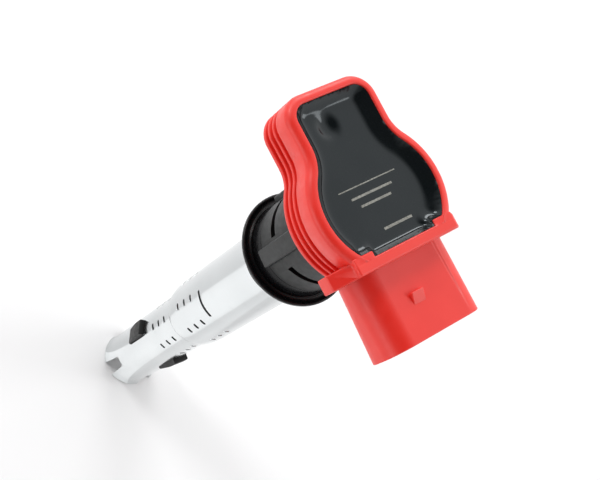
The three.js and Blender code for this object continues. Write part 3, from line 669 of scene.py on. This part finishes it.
def corner_block(side):
    y0, y1 = sorted((side * BLOCK_Y0, side * (BULKHEAD_HALF_W - 0.1 * MM)))
    return rounded_box("block", (BLOCK_X0, y0, HEAD_BASE_Z + 1 * MM),
                       (BULKHEAD_X1 - 0.8 * MM, y1, RIM_Z - 0.05 * MM), 0.3 * MM)


def clip_tab(side):
    """A tab beside the bulkhead, its top sloping up to the rim."""
    near = BULKHEAD_HALF_W - 0.8 * MM
    low, high = TAB_Z
    outline = [(near, low), (TAB_Y, low), (TAB_Y, high), (near, TAB_TOP_Z + 0.6 * MM)]
    rings = [[(x, side * y, z) for y, z in outline]
             for x in (TAB_X0, BULKHEAD_X1 - 0.02 * MM)]
    return beveled("tab", *skin(rings), 0.35 * MM)


def shroud_ring(x, inset):
    """The shroud's rounded section at x, moved inward by inset."""
    along = (x - BULKHEAD_X1) / (MOUTH_X - BULKHEAD_X1)
    low = SHROUD_ROOT_Z0 + (SHROUD_MOUTH_Z0 - SHROUD_ROOT_Z0) * along + inset
    high, half = SHROUD_Z1 - inset, SHROUD_HALF_W - inset
    r = SHROUD_CORNER_R - inset
    points = []
    for y, z, start in ((half - r, low + r, -90), (half - r, high - r, 0),
                        (r - half, high - r, 90), (r - half, low + r, 180)):
        points += arc(y, z, r, start, start + 90, 14)
    return [(x, y, z) for y, z in points]


def shroud():
    edge = 0.3 * MM
    rings = [shroud_ring(BULKHEAD_X1 - 0.6 * MM, 0)]
    bends = [math.radians(a) for a in range(0, 91, 18)]
    rings += [shroud_ring(MOUTH_X - edge * (1 - math.sin(a)), edge * (1 - math.cos(a)))
              for a in bends]
    rings += [shroud_ring(MOUTH_X - edge * (1 - math.cos(a)),
                          SHROUD_WALL - edge * (1 - math.sin(a))) for a in bends]
    rings.append(shroud_ring(SOCKET_X0 + 0.5 * MM, SHROUD_WALL))
    rings.append(shroud_ring(SOCKET_X0, SHROUD_WALL + 0.5 * MM))
    return solid("shroud", *skin(rings))


def latch():
    y0, y1 = LATCH_Y - LATCH_W / 2, LATCH_Y + LATCH_W / 2
    foot = SHROUD_Z1 - LATCH_ROOT
    side = [(LATCH_X, foot), (LATCH_X + LATCH_L, foot), (LATCH_X + LATCH_L, SHROUD_Z1),
            (LATCH_X, SHROUD_Z1 + LATCH_H)]
    return beveled("latch", *skin([[(x, y, z) for x, z in side] for y in (y0, y1)]), 0.18 * MM)


def pin_slots():
    made = []
    for pin in PINS:
        low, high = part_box(pin)
        made.append(solid(pin + "_slot", *box_faces(
            (BLOCK_X0 - 1 * MM, low[1] - GAP, low[2] - GAP),
            (SOCKET_X0 + 1 * MM, high[1] + GAP, high[2] + GAP),
        )))
    return made


def tube_tool(radius, z0, z1, segments=96):
    rings = [[(x, y, z) for x, y in arc(0, 0, radius, 0, 360 - 360 / segments, segments - 1)]
             for z in (z0, z1)]
    return solid("tube", *skin(rings))


def head_housing():
    body = head_shell()
    combine(body, [head_cavity()], "DIFFERENCE")
    corners = [make(side) for make in (corner_block, clip_tab) for side in (-1, 1)]
    combine(body, [head_bulkhead(), *corners, shroud()], "UNION")
    floor_z = HEAD_BASE_Z + HEAD_FLOOR
    neck = tube_tool(CASE_R + GAP, HEAD_BASE_Z - 1 * MM, floor_z + 1 * MM)
    combine(body, [neck, *pin_slots()], "DIFFERENCE")
    finish_surface(body, RED)
    head = merged("head_body", [body, latch()], RED)
    shade(head.data)
    weigh_normals(head)
    return seat(head, "red_plastic", "head_housing")


# ---------------------------------------------------------------- potting compound


def dimple(x, y):
    """How far the cured surface sinks at a point over the rear lobe."""
    away = ((x - DIMPLE_X) / DIMPLE_HALF_L) ** 2 + ((y - DIMPLE_Y) / DIMPLE_HALF_W) ** 2
    return DIMPLE_DEPTH * math.exp(-away ** 1.6)


def potting_outline():
    """The plan of the potting: the head's cavity with its two corner blocks left out."""
    play = 0.04 * MM
    shoulder = BLOCK_X0 - play
    lobe = [(x, y) for x, y in head_outline(-play, shoulder)]
    front, side = BULKHEAD_X0 - GAP - play, BLOCK_Y0 - play
    edge = [(shoulder, -side), (front, -side), (front, side), (shoulder, side)]
    return lobe + edge


def spaced(outline, step):
    """The outline with extra points so that none are further apart than step."""
    points = []
    for i, here in enumerate(outline):
        here, ahead = Vector(here), Vector(outline[(i + 1) % len(outline)])
        parts = max(1, math.ceil((ahead - here).length / step))
        points += [here.lerp(ahead, k / parts) for k in range(parts)]
    return points


def distance_to(outline, point):
    best = 1.0
    for i, here in enumerate(outline):
        near, share = intersect_point_line(point, here, outline[(i + 1) % len(outline)])
        near = near if 0 <= share <= 1 else here
        best = min(best, (Vector(near[:2]) - point).length)
    return best


def inside(outline, point):
    crossings = 0
    for i, (x1, y1) in enumerate(outline):
        x2, y2 = outline[(i + 1) % len(outline)]
        if (y1 > point.y) != (y2 > point.y):
            crossings += point.x < x1 + (point.y - y1) * (x2 - x1) / (y2 - y1)
    return crossings % 2 == 1


def climb(point, away):
    """How far up its wall the potting stands at a point this far from the nearest wall."""
    front = min(max((point.x - MENISCUS_FRONT_X) / MENISCUS_BLEND, 0.0), 1.0)
    width = MENISCUS_W + (MENISCUS_FRONT_W - MENISCUS_W) * front
    return MENISCUS * max(0.0, 1 - away / width) ** MENISCUS_POWER


def potting_points(border, wall):
    """The border and a staggered grid inside the wall, with each grid point's way to the wall."""
    low_x, high_x = min(p.x for p in border), max(p.x for p in border)
    high_y = max(p.y for p in border)
    points = list(border)
    reach = {}
    for row in range(int(2 * high_y / POTTING_STEP)):
        shift = 0.5 if row % 2 else 0.0
        for column in range(int((high_x - low_x) / POTTING_STEP)):
            point = Vector((low_x + (column + shift) * POTTING_STEP,
                            -high_y + row * POTTING_STEP))
            away = distance_to(wall, point) if inside(wall, point) else 0.0
            if away > 0.3 * POTTING_STEP:
                reach[len(points)] = away
                points.append(point)
    return points, reach


def potting_top():
    """The points and faces of the cured surface."""
    outline = [Vector(p) for p in potting_outline()]
    border = spaced(outline, 0.5 * MM)
    points, reach = potting_points(border, spaced(outline, 1.2 * MM))
    count = len(border)
    edges = [(i, (i + 1) % count) for i in range(count)]
    flat, _, faces, origins, _, _ = delaunay_2d_cdt(points, edges, [], 1, 1e-7)
    verts = []
    for point, sources in zip(flat, origins):
        away = reach.get(sources[0], 0.0) if sources else 0.0
        verts.append((point.x, point.y, POTTING_Z + climb(point, away) - dimple(*point)))
    return verts, faces


def potting_fill():
    """A cast slab whose top climbs its walls in a wide meniscus."""
    verts, faces = potting_top()
    mesh = bpy.data.meshes.new("potting_fill")
    mesh.from_pydata(verts, [], faces)
    with edited(mesh) as bm:
        inner = [v for v in bm.verts if not v.is_boundary]
        for _ in range(4):
            bmesh.ops.smooth_vert(bm, verts=inner, factor=0.5, use_axis_x=False,
                                  use_axis_y=False, use_axis_z=True)
        rim = [e for e in bm.edges if e.is_boundary]
        skirt = bmesh.ops.extrude_edge_only(bm, edges=rim)["geom"]
        for vert in (v for v in skirt if isinstance(v, bmesh.types.BMVert)):
            vert.co.z = POTTING_BASE_Z
        bmesh.ops.contextual_create(bm, geom=[e for e in bm.edges if e.is_boundary])
        bmesh.ops.recalc_face_normals(bm, faces=bm.faces)
    shade(mesh, 50)
    return seat(link("potting_fill", mesh, POTTING), "potting", "potting_compound")


def printed_marks():
    """A plain printed rule and bars, generic, in place of any wording."""
    top = POTTING_Z + 0.03 * MM
    marks = [(-4.0, 0.0, 16.8, 0.28), (-1.6, 0.0, 12.0, 0.55), (0.6, 0.0, 9.0, 0.55),
             (7.2, 2.4, 8.4, 0.6)]
    made = []
    for x, y, length, width in marks:
        made.append(rounded_box("mark", ((x - width / 2) * MM, (y - length / 2) * MM,
                                         top - 0.06 * MM),
                                ((x + width / 2) * MM, (y + length / 2) * MM, top),
                                0.02 * MM, 1))
    return merged("printed_marks", made, INK)


# ---------------------------------------------------------------- collar and seal


def pocket(inner, outer, middle, span, z0, z1, drop):
    """A tool that cuts an arc slot whose lower face falls away inward by drop."""
    start, end = middle - span / 2, middle + span / 2
    near = [(x, y, z0) for x, y in arc(0, 0, outer, start, end, 20)]
    deep = [(x, y, z0 - drop) for x, y in arc(0, 0, inner, end, start, 20)]
    low = near + deep
    return solid("pocket", *skin([low, [(x, y, z1) for x, y, _ in low]]))


def collar():
    top = COLLAR_TOP_Z
    inner = UPPER_R + GAP
    profile = [
        (inner, COLLAR_BASE_Z), (COLLAR_R - 0.2 * MM, COLLAR_BASE_Z),
        (COLLAR_R, COLLAR_BASE_Z + 0.5 * MM), (COLLAR_R, top - 1.6 * MM),
        (COLLAR_R + 1.4 * MM, top - 1.6 * MM), (COLLAR_R + 1.4 * MM, top),
        (CASE_R + GAP, top), (CASE_R + GAP, SLEEVE_TOP_Z + 1.2 * MM),
        (inner, SLEEVE_TOP_Z + 0.6 * MM),
    ]
    body = turned("collar_body", profile, COLLAR, 120, 0.25 * MM)
    low, high = COLLAR_BASE_Z + 0.3 * MM, top - 0.4 * MM
    ribs = [turn_about_z(rounded_box(
        "rib", (COLLAR_R - 1.2 * MM, -COLLAR_RIB_W / 2, low), (COLLAR_RIB_R, COLLAR_RIB_W / 2, high),
        0.6 * MM), angle) for angle in COLLAR_RIB_ANGLES]
    combine(body, ribs, "UNION")
    slots = [pocket(COLLAR_R - COLLAR_SLOT_DEPTH, COLLAR_R + 0.4 * MM, angle,
                    COLLAR_SLOT_SPAN, *COLLAR_SLOT_Z, 1.6 * MM) for angle in COLLAR_SLOT_ANGLES]
    combine(body, slots, "DIFFERENCE")
    return seat(finish_surface(body, COLLAR), "collar_plastic", "collar")


def seal_brim():
    bore = UPPER_R + 0.05 * MM
    crown = COLLAR_BASE_Z - 0.05 * MM
    profile = [
        (bore, -6.0 * MM), (bore + 0.7 * MM, -6.0 * MM), (bore + 1.2 * MM, -5.4 * MM),
        (bore + 0.7 * MM, -4.6 * MM), (bore + 0.7 * MM, -3.6 * MM), (bore + 1.2 * MM, -2.9 * MM),
        (bore + 0.8 * MM, -2.0 * MM), (bore + 0.8 * MM, 0), (SEAT_R, 0),
        (BRIM_R, BRIM_H - 1.2 * MM), (BRIM_R, BRIM_H - 0.2 * MM), (BRIM_R - 0.5 * MM, BRIM_H),
        (BRIM_R - 1.3 * MM, BRIM_H - 0.9 * MM), (BRIM_R - 2.0 * MM, BRIM_H - 0.9 * MM),
        (BRIM_R - 2.3 * MM, BRIM_H - 0.5 * MM), (BRIM_R - 2.7 * MM, BRIM_H - 0.8 * MM),
        (COLLAR_R + 0.1 * MM, BRIM_H + 0.9 * MM), (COLLAR_R - 0.3 * MM, crown), (bore, crown),
    ]
    return seat(turned("seal_ring", profile, SEAL, 128, 0.35 * MM, 4, 60), "seal_rubber",
                "seal_brim")


# ---------------------------------------------------------------- metal sleeves


def sorted_lines(values, step, low, high):
    """The given lines, with more between them so that no two are further apart than step."""
    marks = sorted({round(v, 9) for v in values if low <= v <= high} | {low, high})
    lines = []
    for a, b in zip(marks, marks[1:]):
        parts = max(1, math.ceil((b - a) / step))
        lines += [a + (b - a) * k / parts for k in range(parts)]
    return lines + [marks[-1]]


def turn_between(start, end):
    """The shorter way round from one angle to another."""
    return (end - start + math.pi) % TURN - math.pi


class Hole:
    """A rounded opening in a sleeve: its middle and half sizes round and along the sleeve."""

    def __init__(self, angle, z, half_angle, half_z, corner_angle, corner_z):
        self.angle, self.z = angle, z
        self.half_angle, self.half_z = half_angle, half_z
        self.corner_angle, self.corner_z = corner_angle, corner_z

    def angle_lines(self):
        a, c = self.half_angle, self.corner_angle
        return [self.angle + s * v for v in (a, a - c) for s in (-1, 1)]

    def z_lines(self):
        h, c = self.half_z, self.corner_z
        return [self.z + s * v for v in (h, h - c) for s in (-1, 1)]

    def holds(self, angle, z):
        turn = turn_between(self.angle, angle)
        return abs(turn) < self.half_angle and abs(z - self.z) < self.half_z

    def corner_shift(self, angle, z):
        """Moves the hole's four corner points inward, which rounds it."""
        turn = turn_between(self.angle, angle)
        at_side = abs(abs(turn) - self.half_angle) < 1e-6
        at_end = abs(abs(z - self.z) - self.half_z) < 1e-8
        if not (at_side and at_end):
            return angle, z
        return (angle - math.copysign(self.corner_angle * CORNER_PULL, turn),
                z - math.copysign(self.corner_z * CORNER_PULL, z - self.z))


def slot_holes(radius, top_z):
    half = SLOT_L / 2 / radius
    return [Hole(TURN * (column + 0.5) / SLOT_COLUMNS, top_z - i * SLOT_PITCH,
                 half, SLOT_H / 2, HOLE_CORNER / radius, HOLE_CORNER)
            for column in range(SLOT_COLUMNS) for i in range(SLOTS_PER_COLUMN)]


def notch_angle(z):
    """How far a notch reaches round the sleeve from its middle at a level."""
    down = min(max((NOTCH_TOP_Z - z) / (NOTCH_TOP_Z - TIP_Z), 0.0), 1.0)
    return math.asin((NOTCH_HALF_W + NOTCH_FLARE * down) / LOWER_R)


class Notches:
    """Openings in the lower end of a sleeve that widen towards the tip."""

    def __init__(self, middles):
        self.middles = middles
        self.half = notch_angle(NOTCH_TOP_Z)
        self.corner = NOTCH_CORNER / LOWER_R

    def offset(self, angle):
        """The turn from the nearest notch's middle."""
        return min((turn_between(middle, angle) for middle in self.middles), key=abs)

    def angle_lines(self):
        return [middle + s * v for middle in self.middles
                for v in (self.half, self.half - self.corner) for s in (-1, 1)]

    def z_lines(self):
        return [NOTCH_TOP_Z, NOTCH_TOP_Z - NOTCH_CORNER]

    def holds(self, angle, z):
        return z < NOTCH_TOP_Z and abs(self.offset(angle)) < self.half

    def corner_shift(self, angle, z):
        """Rounds a notch's upper corners and splays its sides towards the tip."""
        if z >= NOTCH_TOP_Z + TINY:
            return angle, z
        offset = self.offset(angle)
        if abs(abs(offset) - self.half) < 1e-6 and abs(z - NOTCH_TOP_Z) < TINY:
            angle -= math.copysign(self.corner * CORNER_PULL, offset)
            z -= NOTCH_CORNER * CORNER_PULL
        return angle + self.splayed(offset, notch_angle(z)) - offset, z

    def splayed(self, offset, reach):
        """Where a point at this offset goes when the notch's side moves out to reach."""
        if abs(offset) <= self.half + 1e-9:
            return offset * reach / self.half
        middle = math.pi / 4
        share = (abs(offset) - self.half) / (middle - self.half)
        return math.copysign(reach + share * (middle - reach), offset)


def grid_faces(angles, levels, openings):
    """The cells between the lines of a tube's grid, without those that an opening holds."""
    count = len(angles)
    faces = []
    for row in range(len(levels) - 1):
        z = (levels[row] + levels[row + 1]) / 2
        for i, start in enumerate(angles):
            j = (i + 1) % count
            end = angles[j] if j else TURN
            if not any(opening.holds((start + end) / 2, z) for opening in openings):
                faces.append((row * count + i, row * count + j,
                              (row + 1) * count + j, (row + 1) * count + i))
    return faces


def give_wall(obj, z_low):
    """Turns a sheet into a wall that ends at z_low, with its edges rounded."""
    wall = obj.modifiers.new("wall", "SOLIDIFY")
    wall.thickness = SLEEVE_WALL
    wall.offset = -1
    wall.use_even_offset = True
    bake_modifiers(obj)
    for vert in obj.data.vertices:
        vert.co.z = max(vert.co.z, z_low)
    bevel = obj.modifiers.new("edge", "BEVEL")
    bevel.width = 0.06 * MM
    bevel.segments = 2
    bevel.limit_method = "ANGLE"
    bevel.angle_limit = math.radians(50)
    bake_modifiers(obj)
    drop_folds(obj, SLEEVE)
    shade(obj.data, 40)
    return obj


def sleeve(name, radius_at, z_low, z_high, openings):
    """A thin tube on a grid that follows its openings' edges, then given its wall."""
    angles = [angle % TURN for opening in openings for angle in opening.angle_lines()]
    levels = [z for opening in openings for z in opening.z_lines()]
    angles = sorted_lines(angles, math.radians(3.0), 0.0, TURN)[:-1]
    levels = sorted_lines(levels, 1.2 * MM, z_low, z_high)

    def place(angle, z):
        for opening in openings:
            angle, z = opening.corner_shift(angle, z)
        radius = radius_at(z)
        return (radius * math.cos(angle), radius * math.sin(angle), z)

    verts = [place(angle, z) for z in levels for angle in angles]
    mesh = bpy.data.meshes.new(name)
    mesh.from_pydata(verts, [], grid_faces(angles, levels, openings))
    with edited(mesh) as bm:
        loose = [v for v in bm.verts if not v.link_faces]
        bmesh.ops.delete(bm, geom=loose, context="VERTS")
    shade(mesh, 40)
    return give_wall(link(name, mesh, SLEEVE), z_low)


def upper_radius(z):
    neck = LOWER_R + GAP + SLEEVE_WALL
    if z >= SHOULDER_TOP_Z:
        return UPPER_R
    share = min((SHOULDER_TOP_Z - z) / (SHOULDER_TOP_Z - SHOULDER_END_Z), 1.0)
    return neck + (UPPER_R - neck) * math.sqrt(max(0.0, 1 - share ** 2.4))


def lower_radius(z):
    flare_top = TIP_Z + TIP_FLARE_L
    if z >= flare_top:
        return LOWER_R
    return LOWER_R + TIP_FLARE * ((flare_top - z) / TIP_FLARE_L) ** 2


def upper_sleeve():
    slit = Hole(math.radians(SLIT_ANGLE) % TURN, SLIT_Z, math.radians(SLIT_SPAN / 2),
                SLOT_H / 2, 0.3 * MM / UPPER_R, 0.25 * MM)
    openings = [slit, *slot_holes(UPPER_R, UPPER_SLOT_Z)]
    made = sleeve("upper_tube", upper_radius, SHOULDER_END_Z, SLEEVE_TOP_Z, openings)
    return seat(made, "sleeve_metal", "upper_sleeve")


def lower_sleeve():
    half = math.asin((PAD_HALF_W + GAP) / LOWER_R)
    middle, half_z = (PAD_TOP_Z + PAD_END_Z) / 2, (PAD_TOP_Z - PAD_END_Z) / 2 + GAP
    windows = [Hole(math.radians(a) % TURN, middle, half, half_z,
                    WINDOW_CORNER / LOWER_R, WINDOW_CORNER) for a in PAD_ANGLES]
    notches = Notches([math.radians(a) for a in NOTCH_ANGLES])
    openings = [*windows, *slot_holes(LOWER_R, LOWER_SLOT_Z), notches]
    made = sleeve("lower_tube", lower_radius, TIP_Z, LOWER_TOP_Z, openings)
    return seat(made, "sleeve_metal", "lower_sleeve")


# ---------------------------------------------------------------- boot, contact and spring


def plug_boot():
    contact_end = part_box("plug_contact")[0][2]
    spring_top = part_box("contact_spring")[1][2]
    resistor_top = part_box("suppression_resistor")[1][2]
    nozzle = 5.5 * MM
    profile = [
        (nozzle, BOOT_TOP_Z), (BOOT_R - 0.5 * MM, BOOT_TOP_Z), (BOOT_R, BOOT_TOP_Z - 1 * MM),
        (BOOT_R, BOOT_END_Z + 1 * MM), (BOOT_R - 0.8 * MM, BOOT_END_Z),
        (PLUG_BORE_R + 0.7 * MM, BOOT_END_Z), (PLUG_BORE_R, BOOT_END_Z + 1.2 * MM),
        (PLUG_BORE_R, contact_end - 1 * MM), (SPRING_BORE_R, contact_end - 0.2 * MM),
        (SPRING_BORE_R, spring_top), (RESISTOR_R + GAP, spring_top + 1 * MM),
        (RESISTOR_R + GAP, resistor_top + 0.4 * MM), (nozzle, resistor_top + 1.6 * MM),
    ]
    body = turned("boot_body", profile, BOOT, 96, 0.3 * MM)
    combine(body, [centring_pad(angle) for angle in PAD_ANGLES], "UNION")
    return seat(finish_surface(body, BOOT), "boot_rubber", "plug_boot")


def centring_pad(angle):
    """A pad stands out most at its upper end and ramps down towards the tip."""
    root = BOOT_R - 1 * MM
    side = [(root, PAD_END_Z), (PAD_RAMP_R, PAD_END_Z), (PAD_R, PAD_TOP_Z - 4.6 * MM),
            (PAD_R, PAD_TOP_Z), (root, PAD_TOP_Z)]
    side = fillet(side, [0, 0.6 * MM, 2.0 * MM, 0.6 * MM, 0], 4)
    rings = [[(r, y, z) for r, z in side] for y in (-PAD_HALF_W, PAD_HALF_W)]
    return turn_about_z(beveled("pad", *skin(rings), 0.35 * MM), angle)


def plug_contact():
    top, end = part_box("plug_contact")[1][2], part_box("plug_contact")[0][2]
    outer, inner, roof = CONTACT_R, CONTACT_BORE_R, top - CONTACT_ROOF
    profile = [(0, top), (outer - 0.8 * MM, top), (outer, top - 0.8 * MM),
               (outer, end + 0.6 * MM), (outer - 0.3 * MM, end), (inner, end), (inner, roof),
               (0, roof)]
    cup = turned("contact_cup", profile, TIN, 72, 0.2 * MM)
    return seat(cup, "tinned_metal", "plug_contact", body="contact")


def wire_tube(path, radius, sides=10):
    """Rings of a round wire that follows a path."""
    rings = []
    for i, point in enumerate(path):
        ahead = path[min(i + 1, len(path) - 1)] - path[max(i - 1, 0)]
        ahead.normalize()
        side = AXIS_Z.cross(ahead).normalized()
        up = ahead.cross(side)
        rings.append([point + (side * math.cos(a) + up * math.sin(a)) * radius
                      for a in (TURN * k / sides for k in range(sides))])
    return rings


def coil_path(radius, z0, z1, turns, dead=1.25, steps=28):
    """A helix with closed turns at both ends."""
    points = []
    wire_rise = 0.75 * MM
    total = int(turns * steps)
    for i in range(total + 1):
        t = i / steps
        if t < dead:
            z = z0 + wire_rise * t
        elif t > turns - dead:
            z = z1 - wire_rise * (turns - t)
        else:
            low, high = z0 + wire_rise * dead, z1 - wire_rise * dead
            z = low + (high - low) * (t - dead) / (turns - 2 * dead)
        points.append(Vector((radius * math.cos(TURN * t), radius * math.sin(TURN * t), z)))
    return points


def contact_spring():
    low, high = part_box("contact_spring")
    wire = SPRING_WIRE_R
    path = coil_path(high[0] - wire, low[2] + wire, high[2] - wire, SPRING_TURNS)
    spring = solid("spring_wire", *skin(wire_tube(path, wire)), SPRING, 60)
    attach(spring, "coil")
    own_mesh(spring)
    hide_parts("contact_spring")


# ---------------------------------------------------------------- parts left as in the frame

CARRIED = {
    "suppression_resistor": (CERAMIC, 0.15), "hv_terminal": (TIN, 0.12),
    "insulating_case": (CASE, 0.15), "iron_core": (CORE, 0.0),
    "core_magnet_upper": (MAGNET, 0.2), "core_magnet_lower": (MAGNET, 0.2),
    "core_cap": (BOOT, 0.2), "secondary_bobbin": (BOBBIN, 0.1),
    "primary_bobbin": (BOBBIN, 0.15), "primary_winding": (COPPER, 0.0),
    "driver_board": (BOARD, 0.1), "igniter_module": (CHIP, 0.2),
    "filter_capacitor": (TIN, 0.25), "cut_off_diode": (CHIP, 0.2),
    "gate_resistor": (CHIP, 0.08), "sense_resistor": (CHIP, 0.08),
    "primary_lead_left": (COPPER, 0.05), "primary_lead_right": (COPPER, 0.05),
    **{f"secondary_winding_{i}": (COPPER, 0.15) for i in range(1, 6)},
    **{pin: (TIN, 0.12) for pin in PINS},
}


def carry_over():
    """Gives the inner parts their finish and rounds their edges."""
    for name, (material, width) in CARRIED.items():
        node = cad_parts[name]
        node.data.materials.clear()
        node.data.materials.append(material)
        if width:
            bevel = node.modifiers.new("edge", "BEVEL")
            bevel.width = width * MM
            bevel.segments = 2
            bevel.limit_method = "ANGLE"
            bevel.angle_limit = math.radians(35)


# ---------------------------------------------------------------- studio


CAMERA_PLACE = (0.01732, -0.15638, 0.25713)
CAMERA_TURN = (19.099, -26.183, 58.698)    # degrees about X, Y and Z
CAMERA_LENS = 71.95


def camera():
    """Looks down on the head from the connector's left, at the coil's full length."""
    data = bpy.data.cameras.new("view")
    data.sensor_width = 36
    data.lens = CAMERA_LENS
    data.clip_start, data.clip_end = 0.01, 20
    obj = bpy.data.objects.new("view", data)
    obj.location = CAMERA_PLACE
    obj.rotation_euler = [math.radians(angle) for angle in CAMERA_TURN]
    bpy.context.scene.collection.objects.link(obj)
    bpy.context.scene.camera = obj


def floor():
    n = Nodes("studio_floor")
    cloud = n.noise(6, 3)
    n.surface(n.ramp(cloud, [(0.3, (0.89, 0.89, 0.895)), (0.7, (0.91, 0.91, 0.915))]),
              n.span(cloud, 0.55, 0.65))
    n.bump([(n.noise(900, 3), 0.02, 0.0001)])
    half, level = 2.5, CAD_BOX[0][2] - 0.05 * MM
    rings = [[(-half, -half, z), (half, -half, z), (half, half, z), (-half, half, z)]
             for z in (level - 0.01, level)]
    made = beveled("studio_floor", *skin(rings), 0.004, 2, n.material)


ROOM_PALE = 1.38                 # brightness of the room round the sides
ROOM_DIM = 0.07                  # and overhead at the front
SOFT_BOXES = [                   # name, place, what it points at, size, watts
    ("left_rear", (-0.95, 0.62, 0.45), (0, 0, 0.01), (0.5, 0.35), 4.1),
    ("left_key", (-0.95, -0.24, 0.66), (0, 0, 0.01), (0.3, 0.3), 4.0),
    ("right_key", (0.50, 0.84, 0.66), (0, 0, 0.01), (0.4, 0.4), 2.4),
    ("left_low", (-0.10, -1.15, 0.15), (0, 0, 0.01), (0.9, 0.5), 3.0),
]

CARDS = [                        # direction of the near edge, length, width, brightness
    ("card_bright", -127, 0.11, 0.11, 0.45),
    ("card_soft", -37, 0.11, 0.035, 0.15),
]


def area_light(name, place, aim, size, power):
    data = bpy.data.lights.new(name, "AREA")
    data.shape = "RECTANGLE"
    data.size, data.size_y = size
    data.energy = power
    obj = bpy.data.objects.new(name, data)
    obj.location = place
    obj.visible_camera = False
    obj.rotation_mode = "QUATERNION"
    obj.rotation_quaternion = (Vector(aim) - Vector(place)).to_track_quat("-Z", "Y")
    bpy.context.scene.collection.objects.link(obj)
    return obj


def bounce_card(name, degrees, length, width, brightness):
    """A glowing card on the floor with one corner at the coil's foot.

    The sleeves show it as a bright stripe along their length.
    """
    turn = Matrix.Rotation(math.radians(degrees), 4, "Z")
    middle = turn @ Vector((length / 2, width / 2, 0))
    middle.z = CAD_BOX[0][2] + 0.2 * MM
    power = brightness * math.pi * length * width
    card = area_light(name, middle, middle + AXIS_Z, (length, width), power)
    card.rotation_quaternion = (turn @ Matrix.Rotation(math.pi, 4, "X")).to_quaternion()


def studio():
    """A pale room, dimmer high up at the front, with soft boxes low on all sides."""
    world = bpy.data.worlds.new("studio")
    bpy.context.scene.world = world
    world.use_nodes = True
    tree = world.node_tree
    background = tree.nodes["Background"]
    direction = tree.nodes.new("ShaderNodeTexCoord").outputs["Generated"]
    facing = tree.nodes.new("ShaderNodeVectorMath")
    facing.operation = "DOT_PRODUCT"
    facing.inputs[1].default_value = (0.06, -0.53, 0.85)
    tree.links.new(direction, facing.inputs[0])
    fall = tree.nodes.new("ShaderNodeValToRGB")
    pale, dim = fall.color_ramp.elements
    pale.position, pale.color = 0.45, (*[ROOM_PALE] * 3, 1.0)
    dim.position, dim.color = 0.85, (*[ROOM_DIM] * 3, 1.0)
    tree.links.new(facing.outputs["Value"], fall.inputs["Fac"])
    tree.links.new(fall.outputs["Color"], background.inputs["Color"])
    for box in SOFT_BOXES:
        area_light(*box)
    for card in CARDS:
        bounce_card(*card)
    scene = bpy.context.scene
    scene.view_settings.view_transform = "Standard"
    scene.view_settings.look = "None"


# ---------------------------------------------------------------- assembly

camera()
studio()
floor()
head_housing()
potting_fill()
marks = printed_marks()
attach(marks, "coil")
collar()
seal_brim()
upper_sleeve()
lower_sleeve()
plug_boot()
plug_contact()
contact_spring()
carry_over()
